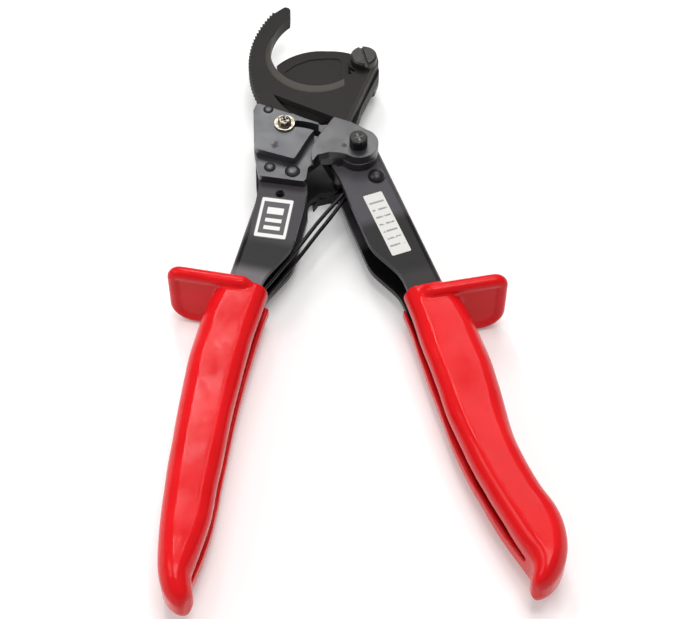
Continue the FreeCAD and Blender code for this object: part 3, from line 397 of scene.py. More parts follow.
def set_rivet(node_name, name, body, rise, punch_mark, foot, finish):
    """Makes a CAD node's rivet from that node's box; foot is 1 for a second head, else 0."""
    shank_share = 0.66          # of the head's radius
    hidden_foot = 0.6           # scale of the lower head where none shows
    low, high = [Vector(corner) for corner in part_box(node_name)]
    long = high.z - low.z - rise * (1 + foot)
    middle = Vector(((low.x + high.x) / 2, (low.y + high.y) / 2, low.z + rise * foot + long / 2))
    radius = (high.x - low.x) / 2
    data = bpy.data.meshes.new(name)
    data.from_pydata([middle], [], [])
    piece = bpy.data.objects.new(name, data)
    bpy.context.scene.collection.objects.link(piece)
    setting = piece.modifiers.new("rivet", "NODES")
    setting.node_group = rivets
    given = {"Head radius": radius, "Head rise": rise, "Punch mark": punch_mark,
             "Shank radius": radius * shank_share, "Shank length": long,
             "Foot scale": max(foot, hidden_foot), "Finish": finish}
    for socket in rivets.interface.items_tree:
        if socket.item_type == "SOCKET" and socket.name in given:
            setting[socket.identifier] = given[socket.name]
    show(name, as_made(piece, name), body, "black_bolt", node_name)


def uneven(tree, surface, place, size, depth):
    """Shallow dents of this many millimetres across and deep."""
    dents = add(tree, "ShaderNodeTexNoise", {"Vector": place, "Scale": per_mm(size)})
    skin = add(tree, "ShaderNodeBump",
               {"Height": dents, "Strength": 0.2, "Distance": depth / 1000})
    tree.links.new(skin, surface.inputs["Normal"])


rivets = rivet_tree()

# bare rivet steel under black oxide: a half-gloss dome with a soft, cloudy highlight
rivet_black, tree, surface, place = new_finish("blackened_rivet_steel", "#161617",
                                               Metallic=0.5, Roughness=0.34)
uneven(tree, surface, place, 0.7, 0.05)
tree.links.new(clouded(tree, place, 2.0, 2.0, "#1c1c1e", "#302f32"), surface.inputs["Base Color"])

# sprayed with its plate: the crown is worn grey, and the outer part of the head, over the punch's
# ring, is painted near black as painted shade where the head meets the plate, and is rougher there
rivet_sprayed, tree, surface, place = new_finish("enamelled_rivet_head", "#242428",
                                                 Roughness=0.34, Specular_IOR_Level=0.5)
rim = add(tree, "ShaderNodeAttribute", None, "Fac", attribute_name="rim")
crown = clouded(tree, place, 1.2, 2.0, "#3a3a3f", "#55555b")
# painted shade: near black towards the rim
tone = add(tree, "ShaderNodeMix", {0: rim, 6: crown, 7: srgb("#060607")}, 2, data_type="RGBA")
tree.links.new(tone, surface.inputs["Base Color"])
dull = add(tree, "ShaderNodeMapRange", {0: rim, 3: 0.3, 4: 0.85}, interpolation_type="SMOOTHSTEP")
tree.links.new(dull, surface.inputs["Roughness"])
uneven(tree, surface, place, 0.6, 0.04)

set_rivet("blade_rivet", "blade_rivet_domes", "fixed_handle", 0.0023, 0.0, 1, rivet_black)
set_rivet("handle_rivet", "handle_rivet_heads", "moving_handle", 0.0009, 0.35, 1, rivet_sprayed)
set_rivet("drive_pawl_pin", "drive_pin_heads", "moving_handle", 0.0010, 0.4, 1, rivet_sprayed)
set_rivet("cover_rivet", "cover_rivet_head", "moving_handle", 0.0005, 0.4, 0, rivet_sprayed)


# ---------------------------------------------------------------- bolts, screw, bush and dowels
# Turned steel fasteners in oil-finished black oxide. The recess of the pivot screw is painted near
# white, as steel bared by the driver and as a painted highlight, and the rims of the bolt head are
# lighter grey, partly from handling and partly as a painted highlight.

def oiled_black(name, dark, light, roughness):
    """Oil-finished black oxide on turned steel, with rims lightened partly for wear and partly as
    a painted highlight; also returns its parts and its tone.
    """
    material, tree, surface, place = new_finish(name, dark, Metallic=0.55)
    turning = add(tree, "ShaderNodeTexNoise", {"Vector": place, "Scale": per_mm(0.5)})
    edge = worn_and_highlit_edges(tree, surface, place, 0.22, turning, 0.2, 0.05)
    tone = clouded(tree, place, 3, 3.0, dark, light)
    # rims lightened grey: partly wear, partly a painted highlight
    tone = add(tree, "ShaderNodeMix", {0: edge, 6: tone, 7: srgb("#8b8985")}, 2,
               data_type="RGBA")
    tree.links.new(tone, surface.inputs["Base Color"])
    oil = add(tree, "ShaderNodeTexNoise", {"Vector": place, "Scale": per_mm(2)})
    oil = add(tree, "ShaderNodeMapRange",
              {0: oil, 1: 0.3, 2: 0.7, 3: roughness - 0.06, 4: roughness + 0.06},
              interpolation_type="SMOOTHSTEP")
    tree.links.new(oil, surface.inputs["Roughness"])
    return material, tree, surface, place, tone


bolt_black = oiled_black("oiled_black_bolt_steel", "#2c2b2b", "#3f3d3b", 0.38)[0]
for name in ("blade_bolt", "blade_nut", "pivot_bush", "holding_pawl_pin", "ear_dowels"):
    coat(name, bolt_black)

screw_black, tree, surface, place, tone = oiled_black(
    "black_screw_steel_bare_and_highlit_recess", "#141414", "#222122", 0.3)
screw_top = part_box("pivot_screw")[1][2]
recess_reach = 0.0023           # metres from the screw's axis, which goes through the origin
recess_edge = 0.0004            # metres down from the top to where the recess is wholly painted near white
from_axis = add(tree, "ShaderNodeVectorMath", {0: place, 1: (1.0, 1.0, 0.0)},
                operation="MULTIPLY")
from_axis = add(tree, "ShaderNodeVectorMath", {0: from_axis}, "Value", operation="LENGTH")
inside = add(tree, "ShaderNodeMapRange",
             {0: from_axis, 1: recess_reach, 2: recess_reach - 0.0003},
             interpolation_type="SMOOTHSTEP")
below = add(tree, "ShaderNodeSeparateXYZ", {0: place}, "Z")
below = add(tree, "ShaderNodeMapRange",
            {0: below, 1: screw_top - 0.0001, 2: screw_top - recess_edge},
            interpolation_type="SMOOTHSTEP")
in_recess = add(tree, "ShaderNodeMath", {0: inside, 1: below}, operation="MULTIPLY")
# bare steel and a painted highlight: the recess is painted near white
tone = add(tree, "ShaderNodeMix", {0: in_recess, 6: tone, 7: srgb("#d8d6d2")}, 2,
           data_type="RGBA")
tree.links.new(tone, surface.inputs["Base Color"])
coat("pivot_screw", screw_black)


# ---------------------------------------------------------------- pawls, release screw and springs
# Two hardened steel pawls left bright from the grinder, a nickel-plated screw and
# washer for the thumb, and hard-drawn spring wire with its dark drawing skin.
pawl_steel, tree, surface, place = new_finish("ground_pawl_steel", "#56534f", Metallic=1.0,
                                              Roughness=0.4)
# grinding runs one way, so its marks are ten times longer than wide
marks = add(tree, "ShaderNodeVectorMath", {0: place, 1: (1.0, 0.1, 1.0)}, operation="MULTIPLY")
marks = add(tree, "ShaderNodeTexNoise", {"Vector": marks, "Scale": per_mm(0.4)})
worn_and_highlit_edges(tree, surface, place, 0.2, marks, 0.3, 0.05)
tone = add(tree, "ShaderNodeMix", {0: marks, 6: srgb("#3f3d3a"), 7: srgb("#6a6660")}, 2,
           data_type="RGBA")
tree.links.new(tone, surface.inputs["Base Color"])
for name in ("drive_pawl", "holding_pawl"):
    coat(name, pawl_steel)


def nickel(name, colour, roughness, edge_mm, stain_mm, clean_to_stained, clean, stained):
    """Bright nickel plate, warm and mirror-like, with dull stains where hands leave them."""
    material, tree, surface, place = new_finish(name, colour, Metallic=1.0, Roughness=roughness)
    skin = add(tree, "ShaderNodeTexNoise", {"Vector": place, "Scale": per_mm(0.5)})
    worn_and_highlit_edges(tree, surface, place, edge_mm, skin, 0.15, 0.04)
    stain = add(tree, "ShaderNodeTexNoise",
                {"Vector": place, "Scale": per_mm(stain_mm), "Detail": 3.0})
    stain = add(tree, "ShaderNodeMapRange",
                {0: stain, 1: clean_to_stained[0], 2: clean_to_stained[1]},
                interpolation_type="SMOOTHSTEP")
    tone = add(tree, "ShaderNodeMix", {0: stain, 6: srgb(clean), 7: srgb(stained)}, 2,
               data_type="RGBA")
    tree.links.new(tone, surface.inputs["Base Color"])
    return material


# years of thumbs and drivers leave the raised screw darker than its washer
coat("release_washer", nickel("bright_nickel_plate", "#c9c0b0", 0.24, 0.25, 1.6, (0.4, 0.6),
                              "#bdb4a4", "#7a7265"))
coat("release_screw", nickel("handled_nickel_screw", "#6f6a60", 0.2, 0.3, 1.2, (0.35, 0.6),
                             "#9b9386", "#3a3733"))

# drawn wire is dark and half-gloss, with fine clouds where the drawing skin is thinner
spring_wire, tree, surface, place = new_finish("drawn_spring_wire", "#2a2a2c", Metallic=0.9,
                                               Roughness=0.28)
drawn = add(tree, "ShaderNodeTexNoise", {"Vector": place, "Scale": per_mm(0.5)})
worn_and_highlit_edges(tree, surface, place, 0.3, drawn, 0.2, 0.03)
tone = add(tree, "ShaderNodeMix", {0: drawn, 6: srgb("#1d1d1f"), 7: srgb("#3b3a3b")}, 2,
           data_type="RGBA")
tree.links.new(tone, surface.inputs["Base Color"])
for name in ("drive_pawl_spring", "holding_pawl_spring"):
    coat(name, spring_wire)


def smooth_rows(rows, steps):
    """Rows of numbers with steps rows between each pair, on a smooth curve through them."""
    result = []
    for i in range(len(rows) - 1):
        before = rows[max(i - 1, 0)]
        after = rows[min(i + 2, len(rows) - 1)]
        for k in range(steps):
            t = k / steps
            row = []
            for p, a, b, q in zip(before, rows[i], rows[i + 1], after):
                bend = p - 2.5 * a + 2 * b - q / 2 + t * (1.5 * (a - b) + (q - p) / 2)
                row.append(a + t * ((b - p) / 2 + t * bend))
            result.append(row)
    result.append(list(rows[-1]))
    return result


coil_radius = 4.0           # mm, of the middle of its turns, round the pivot bush
coil_wire = 0.5             # thinner in the coils, which share their room with the blade's tail
leg_wire = 0.75
coil_bottom, coil_middle, coil_top = 15.88, 17.63, 20.34
coil_gap = 1.05             # between the two coils where their short ends leave
coil_rows_each = 22
tang_deg, leg_deg = -137.7, -757.3
tang = [(-1.9, -3.9), (0.3, -6.3), (2.9, -9.2), (5.2, -11.8)]
# each leg point is x, y, the lower wire's height, the upper wire's height, wire radius
legs = [
    (1.9, -5.0, 15.85, 20.3, coil_wire), (-1.0, -9.2, 15.85, 20.1, coil_wire),
    (-5.3, -14.4, 15.1, 19.3, 0.62), (-10.7, -21.5, 12.9, 18.6, leg_wire),
    (-15.8, -29.0, 12.1, 18.4, leg_wire), (-21.3, -38.2, 12.1, 18.4, leg_wire),
    (-27.0, -47.3, 12.2, 18.3, leg_wire), (-32.6, -55.8, 12.4, 18.0, leg_wire),
    (-37.4, -61.8, 13.0, 17.4, leg_wire), (-38.6, -63.2, 14.3, 16.1, leg_wire)]


def coil_rows(from_z, to_z, from_deg, to_deg):
    """Rows of x, y, height and wire radius along one of the return spring's coils, in mm."""
    rows = []
    for i in range(coil_rows_each + 1):
        share = i / coil_rows_each
        turn = math.radians(from_deg + (to_deg - from_deg) * share)
        rows.append([coil_radius * math.cos(turn), coil_radius * math.sin(turn),
                     from_z + (to_z - from_z) * share, coil_wire])
    return rows


# one wire: a short end, the lower coil, out along the lower leg, round its end, back
# along the upper leg, the upper coil and the other short end
rows = [[x, y, coil_middle, coil_wire] for x, y in reversed(tang)]
rows += coil_rows(coil_middle, coil_bottom, tang_deg, leg_deg)
rows += [[x, y, low, radius] for x, y, low, high, radius in legs]
rows += [[x, y, high, radius] for x, y, low, high, radius in reversed(legs)]
rows += coil_rows(coil_top, coil_middle + coil_gap, leg_deg, tang_deg)
rows += [[x, y, coil_middle + coil_gap, coil_wire] for x, y in tang]
rows = smooth_rows(rows, 4)
line = bpy.data.curves.new("return_spring_line", "CURVE")
line.dimensions = "3D"
line.bevel_depth = 0.001        # times each point's radius in mm
line.bevel_resolution = 3
line.use_fill_caps = True
run = line.splines.new("POLY")
run.points.add(len(rows) - 1)
for point, (x, y, z, radius) in zip(run.points, rows):
    point.co = (x / 1000, y / 1000, z / 1000, 1.0)
    point.radius = radius
drawn_line = bpy.data.objects.new("return_spring_line", line)
bpy.context.scene.collection.objects.link(drawn_line)
data = as_made(drawn_line, "return_spring_wire")
data.materials.clear()
data.materials.append(spring_wire)
for face in data.polygons:
    face.use_smooth = True
wire = bpy.data.objects.new("return_spring_wire", data)
bpy.context.scene.collection.objects.link(wire)
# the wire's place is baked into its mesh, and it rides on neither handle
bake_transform(wire)
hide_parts("return_spring")


# ---------------------------------------------------------------- grips
# Glossy red vinyl, dipped over each handle in one skin with its hand guard. It is
# thicker where it ran to a rounded bead round the guard and to a nub at the end,
# it swells a little along its length, and it is slit along its inner side.

def rounded_loop(corners, steps=6):
    """Closed outline of 2D points through (across, up, radius) corners."""
    points = []
    count = len(corners)
    for i, (x, y, radius) in enumerate(corners):
        here = Vector((x, y))
        back = (Vector(corners[i - 1][:2]) - here).normalized()
        on = (Vector(corners[(i + 1) % count][:2]) - here).normalized()
        half = back.angle(on) / 2
        centre = here + (back + on).normalized() * (radius / math.sin(half))
        first = here + back * (radius / math.tan(half)) - centre
        last = here + on * (radius / math.tan(half)) - centre
        start = math.atan2(first.y, first.x)
        turn = (math.atan2(last.y, last.x) - start + math.pi) % (2 * math.pi) - math.pi
        for k in range(steps + 1):
            angle = start + turn * k / steps
            points.append(centre + Vector((math.cos(angle), math.sin(angle))) * radius)
    return points


def wall_between(work, rows, closed):
    """Faces between neighbouring rows of vertices, each row a closed ring."""
    count = len(rows[0])
    followers = rows[1:] + rows[:1] if closed else rows[1:]
    for row, following in zip(rows, followers):
        for i in range(count):
            j = (i + 1) % count
            work.faces.new((row[i], row[j], following[j], following[i]))


def finished_mesh(name, work):
    """The worked shape as a mesh whose faces point outwards."""
    bmesh.ops.recalc_face_normals(work, faces=work.faces)
    data = bpy.data.meshes.new(name)
    work.to_mesh(data)
    work.free()
    return data


def loft(rings):
    """Closed mesh through rings of equal count, with its ends capped."""
    work = bmesh.new()
    rows = [[work.verts.new(point) for point in ring] for ring in rings]
    wall_between(work, rows, False)
    work.faces.new(rows[0])
    work.faces.new(rows[-1])
    return finished_mesh("loft", work)


# all in mm
mid_height = (cad_low[2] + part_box("ear_plate_top")[1][2]) * 500     # between the flanges
sleeve_crown = 1.7
sleeve_corners = (4.5, 3.0, 4.0, 5.2)       # under outer, under inner, top inner, top outer
widest_corner = 0.48                        # share of a side that a corner may take
swell = 0.45
swell_size = 12.0
guard_outline = [(-20.9, -15.2, 9.0), (11.5, -15.2, 3.0), (11.5, 11.4, 3.0), (9.0, 13.9, 3.6),
                 (-20.9, 13.9, 4.8)]
guard_web = 1.6
bead_radius = 2.5
bead_sides = 14
core_edge = 0.3                             # corner radius at the core's open side
skin_step = 0.5


def sleeve_rings(handle, ribs):
    """Rings of the sleeve; a rib is (outer along, inwards, inner along, inwards, half height)."""
    rings = []
    for outer_s, outer_n, inner_s, inner_n, half in smooth_rows(ribs, 6):
        wide = math.hypot(inner_s - outer_s, inner_n - outer_n)
        most = min(wide, 2 * half) * widest_corner
        places = ((0, -half), (wide, -half), (wide, half), (0, half))
        corners = [(x, up, min(radius, most)) for (x, up), radius in zip(places, sleeve_corners)]
        middle = handle.at((outer_s + inner_s) / 2, (outer_n + inner_n) / 2, 0)
        ring = []
        for x, up in rounded_loop(corners):
            share = x / wide
            point = handle.at(outer_s + (inner_s - outer_s) * share,
                              outer_n + (inner_n - outer_n) * share, up)
            point.z += sleeve_crown * (1 - (2 * share - 1) ** 2) * up / half
            way = (point - middle).normalized()
            ring.append(point + way * swell * noise.noise(point / swell_size))
        rings.append(ring)
    return rings


def core_rings(handle, stations, radius):
    """Rings of a core to cut away; a station is (along, from inwards, to inwards, half height)."""
    rings = []
    for s, low, high, half in stations:
        corner = min(radius, half * 0.8)
        outline = rounded_loop([(low, -half, corner), (high, -half, core_edge),
                                (high, half, core_edge), (low, half, corner)], 4)
        rings.append([handle.at(s, point.x, point.y) for point in outline])
    return rings


def guard_meshes(handle, s, lean_deg):
    """The guard's web and, round it, the bead."""
    lean = math.tan(math.radians(lean_deg))
    edge = guard_outline[1][0]

    def stood(point, along):
        return handle.at(s + (edge - point.x) * lean + along, point.x, point.y)

    inset = [(x - math.copysign(bead_radius, x), up - math.copysign(bead_radius, up),
              max(radius - bead_radius, 0.6)) for x, up, radius in guard_outline]
    line = rounded_loop(inset, 8)
    web = loft([[stood(point, along) for point in line] for along in (-guard_web, guard_web)])
    work = bmesh.new()
    rows = []
    middle = sum(line, Vector((0.0, 0.0))) / len(line)
    for i, point in enumerate(line):
        way = (line[(i + 1) % len(line)] - line[i - 1]).normalized()
        out = Vector((way.y, -way.x))
        if out.dot(point - middle) < 0:
            out.negate()
        row = []
        for k in range(bead_sides):
            turn = 2 * math.pi * k / bead_sides
            row.append(work.verts.new(stood(point + out * bead_radius * math.cos(turn),
                                            bead_radius * math.sin(turn))))
        rows.append(row)
    wall_between(work, rows, True)
    return web, finished_mesh("bead", work)


def dip_grip(name, handle, ribs, guard, core, core_half, slit, node_name):
    """Joins sleeve, guard and bead into one skin, opens it for the channel and the slit."""
    web, bead = guard_meshes(handle, *guard)
    channel = core_rings(handle, [station + (core_half,) for station in core], 2.5)
    parts = [("sleeve", loft(sleeve_rings(handle, ribs)), None),
             ("web", web, "UNION"), ("bead", bead, "UNION"),
             ("core", loft(channel), "DIFFERENCE"),
             ("slit", loft(core_rings(handle, slit, 1.0)), "DIFFERENCE")]
    made = []
    for part_name, data, how in parts:
        piece = bpy.data.objects.new(part_name, data)
        bpy.context.scene.collection.objects.link(piece)
        made.append(piece)
        if how:
            cut = made[0].modifiers.new(part_name, "BOOLEAN")
            cut.operation = how
            cut.solver = "EXACT"
            cut.object = piece
            # the bead overlaps itself at the tight corners
            cut.use_self = part_name == "bead"
    skin = made[0].modifiers.new("skin", "REMESH")
    skin.mode = "VOXEL"
    skin.voxel_size = skin_step
    skin.use_smooth_shade = True
    soft = made[0].modifiers.new("soft", "SMOOTH")
    soft.factor = 0.5
    soft.iterations = 6
    data = as_made(made[0], name)
    for piece in made[1:]:
        bpy.data.objects.remove(piece)
    data.transform(Matrix.Translation((0, 0, mid_height)))
    data.transform(Matrix.Scale(0.001, 4))
    data.materials.clear()
    data.materials.append(vinyl)
    for face in data.polygons:
        face.use_smooth = True
    show(name, data, handle.body, "red_vinyl", node_name)


vinyl, tree, surface, place = new_finish("dipped_red_vinyl", "#e8141a", Roughness=0.22,
                                         Specular_IOR_Level=0.17)
# the dip is thinner and paler where it drained and deeper where it pooled; here its red wanders at
# random in patches about 16 mm across
tree.links.new(clouded(tree, place, 16, 3.0, "#cf0d13", "#ea191f"), surface.inputs["Base Color"])
# slow ripples from the dip bend its highlights, and small dimples break them up
ripple = add(tree, "ShaderNodeTexNoise", {"Vector": place, "Scale": per_mm(5), "Detail": 1.0})
ripple = add(tree, "ShaderNodeBump", {"Height": ripple, "Strength": 0.25, "Distance": 0.0004})
dimple = add(tree, "ShaderNodeTexNoise", {"Vector": place, "Scale": per_mm(0.9)})
skin = add(tree, "ShaderNodeBump", {"Height": dimple, "Strength": 0.12, "Distance": 0.00005,
                                    "Normal": ripple})
tree.links.new(skin, surface.inputs["Normal"])
handled = add(tree, "ShaderNodeTexNoise", {"Vector": place, "Scale": per_mm(8), "Detail": 3.0})
handled = add(tree, "ShaderNodeMapRange", {0: handled, 1: 0.3, 2: 0.7, 3: 0.16, 4: 0.27},
              interpolation_type="SMOOTHSTEP")
tree.links.new(handled, surface.inputs["Roughness"])

moving_ribs = [
    (45.0, -2.3, 44.2, 15.5, 9.7), (53.0, -3.9, 52.5, 15.3, 9.7), (64.0, -4.4, 63.0, 15.3, 9.7),
    (78.0, -4.2, 77.0, 15.7, 9.7), (100.7, -1.7, 98.5, 17.1, 9.7), (124.0, 1.8, 120.0, 19.3, 9.7),
    (142.0, 5.0, 136.0, 21.0, 9.7), (152.0, 7.3, 146.8, 21.0, 9.6),
    (159.6, 9.8, 153.5, 20.6, 9.4), (165.2, 13.0, 158.0, 20.4, 8.6),
    (168.2, 16.4, 161.2, 21.6, 7.2), (169.2, 19.2, 163.8, 22.6, 5.4),
    (168.8, 20.8, 165.6, 22.6, 3.2)]
fixed_ribs = [
    (66.5, -2.3, 64.6, 15.2, 9.7), (74.0, -3.7, 73.0, 15.6, 9.7), (85.0, -4.1, 84.5, 16.5, 9.7),
    (101.0, -3.6, 101.0, 17.9, 9.7), (119.6, -0.8, 116.0, 18.9, 9.7),
    (136.2, 1.1, 133.0, 19.2, 9.7), (152.3, 0.4, 151.0, 18.0, 9.7),
    (163.0, -1.4, 163.5, 16.5, 9.7), (171.0, -0.9, 172.4, 14.9, 9.5),
    (178.0, 1.6, 177.8, 14.1, 9.0), (183.4, 5.6, 180.6, 15.0, 8.2),
    (186.6, 10.2, 182.2, 16.2, 6.7), (187.4, 13.4, 184.2, 16.9, 4.9),
    (187.0, 15.0, 185.4, 16.7, 3.1)]
moving_core = [
    (38.0, -0.15, 13.1), (60.0, -0.15, 13.3), (80.0, 0.0, 13.6), (92.0, 0.75, 14.05),
    (112.0, 2.2, 16.2), (132.0, 6.0, 18.5), (158.3, 11.2, 18.5)]
fixed_core = [
    (58.0, -0.15, 13.8), (104.0, -0.15, 15.6), (112.0, 0.15, 16.0), (119.6, 1.0, 16.3),
    (126.0, 2.0, 16.6), (141.0, 4.1, 17.1), (160.0, 3.6, 15.0), (176.15, 3.0, 12.8)]
moving_slit = [(36.0, 8.0, 34.0, 3.4), (120.0, 11.0, 34.0, 3.2), (148.0, 14.0, 34.0, 2.6),
               (160.0, 16.5, 34.0, 1.2)]
fixed_slit = [(56.0, 8.0, 34.0, 3.2), (140.0, 10.0, 34.0, 3.0), (162.0, 10.5, 34.0, 2.6),
              (174.0, 12.0, 34.0, 1.2)]
# a guard is how far along it stands, and how many degrees it leans
dip_grip("moving_grip_skin", moving_handle, moving_ribs, (45.7, 3.0), moving_core, 8.38,
         moving_slit, "moving_grip")
dip_grip("fixed_grip_skin", fixed_handle, fixed_ribs, (69.1, 8.5), fixed_core, 8.18,
         fixed_slit, "fixed_grip")


# ---------------------------------------------------------------- stickers and the stamped arrow
# Thin vinyl stickers pressed on the channels' flat tops: a black one with a white
# frame, and a white one with plain ruled lines. The arrow is painted on the cover.

def flat_piece(name, outline, low, high, material, body, slot):
    """Thin plate over a 2D outline, all in mm."""
    work = bmesh.new()
    under, over = [[work.verts.new((x / 1000, y / 1000, z / 1000)) for x, y in outline]
                   for z in (low, high)]
    work.faces.new(under)
    work.faces.new(over)
    wall_between(work, [under, over], False)
    bmesh.ops.triangulate(work, faces=[f for f in work.faces if len(f.verts) > 4])
    data = finished_mesh(name, work)
    data.materials.append(material)
    show(name, data, body, slot)


class Sticker:
    """Where a sticker lies, in mm, and its outline."""

    def __init__(self, centre, turn_deg, wide, tall, radius):
        self.centre = Vector(centre)
        self.turn = math.radians(turn_deg)
        self.wide, self.tall = wide, tall
        turned = Matrix.Rotation(self.turn, 2)
        corners = [(side * wide / 2, end * tall / 2, radius)
                   for side, end in ((-1, -1), (1, -1), (1, 1), (-1, 1))]
        self.outline = [turned @ point + self.centre for point in rounded_loop(corners, 4)]

    def across_and_down(self, tree, place):
        """Each from -1 to 1 at the sticker's borders."""
        moved = add(tree, "ShaderNodeVectorMath",
                    {0: place, 1: (self.centre.x / 1000, self.centre.y / 1000, 0.0)},
                    operation="SUBTRACT")
        turned = add(tree, "ShaderNodeVectorRotate", {"Vector": moved, "Angle": -self.turn},
                     rotation_type="Z_AXIS")
        scaled = add(tree, "ShaderNodeVectorMath",
                     {0: turned, 1: (2000 / self.wide, 2000 / self.tall, 0.0)},
                     operation="MULTIPLY")
        parts = add(tree, "ShaderNodeSeparateXYZ", {0: scaled}).node.outputs
        return parts["X"], parts["Y"]


# black vinyl film: half-gloss, with shallow lifted patches, printed in dull white
framed_at = Sticker((-31.2, -29.9), -9.0, 12.4, 19.6, 2.0)
framed, tree, surface, place = new_finish("black_printed_sticker", "#141414", Roughness=0.4)
across, down = framed_at.across_and_down(tree, place)
side = add(tree, "ShaderNodeMath", {0: across}, operation="ABSOLUTE")
end = add(tree, "ShaderNodeMath", {0: down}, operation="ABSOLUTE")
border = add(tree, "ShaderNodeMath", {0: side, 1: end}, operation="MAXIMUM")
# the frame starts at 0.76 and ends at 0.95 of the way to the border
within = add(tree, "ShaderNodeMapRange", {0: border, 1: 0.76, 2: 0.78},
             interpolation_type="SMOOTHSTEP")
inset = add(tree, "ShaderNodeMapRange", {0: border, 1: 0.95, 2: 0.93},
            interpolation_type="SMOOTHSTEP")
line = add(tree, "ShaderNodeMath", {0: within, 1: inset}, operation="MULTIPLY")
# plain bars where the maker's print would be: how far down each is, and half its height
bars = 0.0
for bar_down, bar_half in ((0.34, 0.17), (-0.12, 0.10), (-0.48, 0.10)):
    bar = add(tree, "ShaderNodeMath", {0: down, 1: bar_down}, operation="SUBTRACT")
    bar = add(tree, "ShaderNodeMath", {0: bar}, operation="ABSOLUTE")
    bar = add(tree, "ShaderNodeMapRange", {0: bar, 1: bar_half, 2: bar_half - 0.02},
              interpolation_type="SMOOTHSTEP")
    bars = add(tree, "ShaderNodeMath", {0: bars, 1: bar}, operation="MAXIMUM")
bar_ends = add(tree, "ShaderNodeMapRange", {0: side, 1: 0.5, 2: 0.48},
               interpolation_type="SMOOTHSTEP")
bars = add(tree, "ShaderNodeMath", {0: bars, 1: bar_ends}, operation="MULTIPLY")
ink = add(tree, "ShaderNodeMath", {0: line, 1: bars}, operation="MAXIMUM")
tone = add(tree, "ShaderNodeMix", {0: ink, 6: srgb("#38363a"), 7: srgb("#dedbd9")}, 2,
           data_type="RGBA")
tree.links.new(tone, surface.inputs["Base Color"])
uneven(tree, surface, place, 4, 0.1)
moving_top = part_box("moving_channel")[1][2] * 1000
flat_piece("framed_sticker", framed_at.outline, moving_top + 0.01, moving_top + 0.13, framed,
           "moving_handle", "black_steel")

# white vinyl film: matt, with thin grey rules that are broken as worn print is
ruled_at = Sticker((10.3, -32.1), 20.6, 7.4, 29.8, 0.5)
ruled, tree, surface, place = new_finish("white_ruled_sticker", "#d2d0cc", Roughness=0.5)
across, down = ruled_at.across_and_down(tree, place)
side = add(tree, "ShaderNodeMath", {0: across}, operation="ABSOLUTE")
end = add(tree, "ShaderNodeMath", {0: down}, operation="ABSOLUTE")
rule = add(tree, "ShaderNodeMath", {0: down, 1: 0.118}, operation="PINGPONG")
rule = add(tree, "ShaderNodeMapRange", {0: rule, 1: 0.035, 2: 0.02},
           interpolation_type="SMOOTHSTEP")
worn = add(tree, "ShaderNodeTexNoise", {"Vector": place, "Scale": per_mm(1.6)})
worn = add(tree, "ShaderNodeMapRange", {0: worn, 1: 0.42, 2: 0.5},
           interpolation_type="SMOOTHSTEP")
margin = add(tree, "ShaderNodeMapRange", {0: side, 1: 0.8, 2: 0.74},
             interpolation_type="SMOOTHSTEP")
foot = add(tree, "ShaderNodeMapRange", {0: end, 1: 0.93, 2: 0.9},
           interpolation_type="SMOOTHSTEP")
for share in (worn, margin, foot):
    rule = add(tree, "ShaderNodeMath", {0: rule, 1: share}, operation="MULTIPLY")
tone = add(tree, "ShaderNodeMix", {0: rule, 6: srgb("#d2d0cc"), 7: srgb("#8d8b8a")}, 2,
           data_type="RGBA")
tree.links.new(tone, surface.inputs["Base Color"])
fixed_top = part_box("fixed_channel")[1][2] * 1000
flat_piece("ruled_sticker", ruled_at.outline, fixed_top + 0.01, fixed_top + 0.12, ruled,
           "fixed_handle", "black_steel")

# stamping ink on enamel: dull grey, patchy where the stamp pressed unevenly
arrow_ink, tree, surface, place = new_finish("grey_stamping_ink", "#3c3c40", Roughness=0.6)
patch = add(tree, "ShaderNodeTexNoise", {"Vector": place, "Scale": per_mm(0.5)})
patch = add(tree, "ShaderNodeMapRange", {0: patch, 1: 0.35, 2: 0.6},
            interpolation_type="SMOOTHSTEP")
tone = add(tree, "ShaderNodeMix", {0: patch, 6: srgb("#26262a"), 7: srgb("#4b4b50")}, 2,
           data_type="RGBA")
tree.links.new(tone, surface.inputs["Base Color"])
cover_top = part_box("cover_plate")[1][2] * 1000
arrow_at = Vector((-31.2, -0.2))
arrow_turn = Matrix.Rotation(math.radians(-20), 2)
arrow = [(-0.7, 1.6), (0.7, 1.6), (0.7, -0.1), (1.7, -0.1), (0.0, -2.0), (-1.7, -0.1),
         (-0.7, -0.1)]
flat_piece("direction_arrow", [arrow_turn @ Vector(point) + arrow_at for point in arrow],
           cover_top + 0.005, cover_top + 0.05, arrow_ink, "moving_handle", "black_plate")


# ---------------------------------------------------------------- table, lights and camera
# A matt white table top in a pale room, lit from a wide ceiling, with three window
# panes high up beyond the tool's head and a weaker fill from the left.

table_half = 4.0
corners = [(-table_half, -table_half, 0), (table_half, -table_half, 0),
           (table_half, table_half, 0), (-table_half, table_half, 0)]
data = bpy.data.meshes.new("table_top")
data.from_pydata(corners, [], [(0, 1, 2, 3)])
table_top = bpy.data.objects.new("table_top", data)
bpy.context.scene.collection.objects.link(table_top)
# painted board: flat white with hardly any gloss
table_white, tree, surface, place = new_finish("matt_white_table", "#f1f1f0", Roughness=0.9,
                                               Specular_IOR_Level=0.1)
data.materials.append(table_white)
path = add(tree, "ShaderNodeLightPath").node.outputs
seen = add(tree, "ShaderNodeMath", {0: path["Is Camera Ray"], 1: path["Is Glossy Ray"]},
           operation="MAXIMUM")
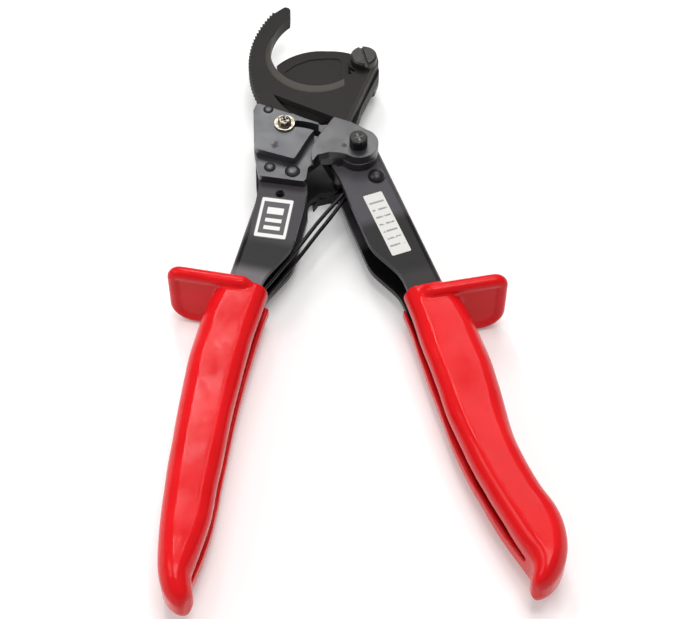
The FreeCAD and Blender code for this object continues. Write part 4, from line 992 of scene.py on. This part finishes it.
# the lamps reach only the middle of the table, so the rest of it glows more
from_tool = add(tree, "ShaderNodeVectorMath", {0: place}, "Value", operation="LENGTH")
glow = add(tree, "ShaderNodeMapRange", {0: from_tool, 1: 0.35, 2: 2.0, 3: 0.16, 4: 0.7},
           interpolation_type="SMOOTHSTEP")
glow = add(tree, "ShaderNodeMath", {0: seen, 1: glow}, operation="MULTIPLY")
glow = add(tree, "ShaderNodeEmission", {"Color": (1, 1, 1, 1), "Strength": glow})
both = add(tree, "ShaderNodeAddShader", {0: surface.outputs[0], 1: glow})
out = [n for n in tree.nodes if n.type == "OUTPUT_MATERIAL"][0]
tree.links.new(both, out.inputs["Surface"])

scene = bpy.context.scene
scene.view_settings.view_transform = "Standard"
world = bpy.data.worlds.new("white_room")
scene.world = world
world.use_nodes = True
room = world.node_tree.nodes["Background"]
room.inputs["Color"].default_value = (1, 1, 1, 1)
# the room is white to look at, and lights the tool at about a third of that
path = add(world.node_tree, "ShaderNodeLightPath").node.outputs
level = add(world.node_tree, "ShaderNodeMapRange", {0: path["Is Camera Ray"], 3: 0.34, 4: 1.0},
            interpolation_type="SMOOTHSTEP")
world.node_tree.links.new(level, room.inputs["Strength"])

# name, place, where it aims, its size, watts
lamps = [
    ("window_top", (0.0, 0.83, 0.95), (0, 0, 0), (0.56, 0.3), 1.8),
    ("window_left", (-0.158, 0.515, 0.95), (-0.05, -0.1, 0), (0.1, 0.3), 1.5),
    ("window_right", (0.16, 0.45, 0.95), (0.05, -0.1, 0), (0.2, 0.36), 0.9),
    ("ceiling", (0.1, -0.1, 1.3), (0, -0.05, 0), (0.6, 0.6), 8.5),
    ("left_fill", (-0.8, -0.1, 0.8), (0, -0.05, 0), (0.5, 0.5), 3)]
for name, at, aim, size, watts in lamps:
    lamp = bpy.data.lights.new(name, "AREA")
    lamp.shape = "RECTANGLE"
    lamp.size, lamp.size_y = size
    lamp.energy = watts
    stand = bpy.data.objects.new(name, lamp)
    stand.location = at
    stand.rotation_euler = (Vector(aim) - Vector(at)).to_track_quat("-Z", "Y").to_euler()
    scene.collection.objects.link(stand)

eye = bpy.data.cameras.new("bench_view")
eye.sensor_width = 36.0
eye.lens = 92.8
camera = bpy.data.objects.new("bench_view", eye)
camera.location = (-0.00708, -0.4352, 0.5242)
look = Vector((-0.00708, -0.0543, 0.0)) - camera.location
camera.rotation_euler = look.to_track_quat("-Z", "Y").to_euler()
scene.collection.objects.link(camera)
scene.camera = camera
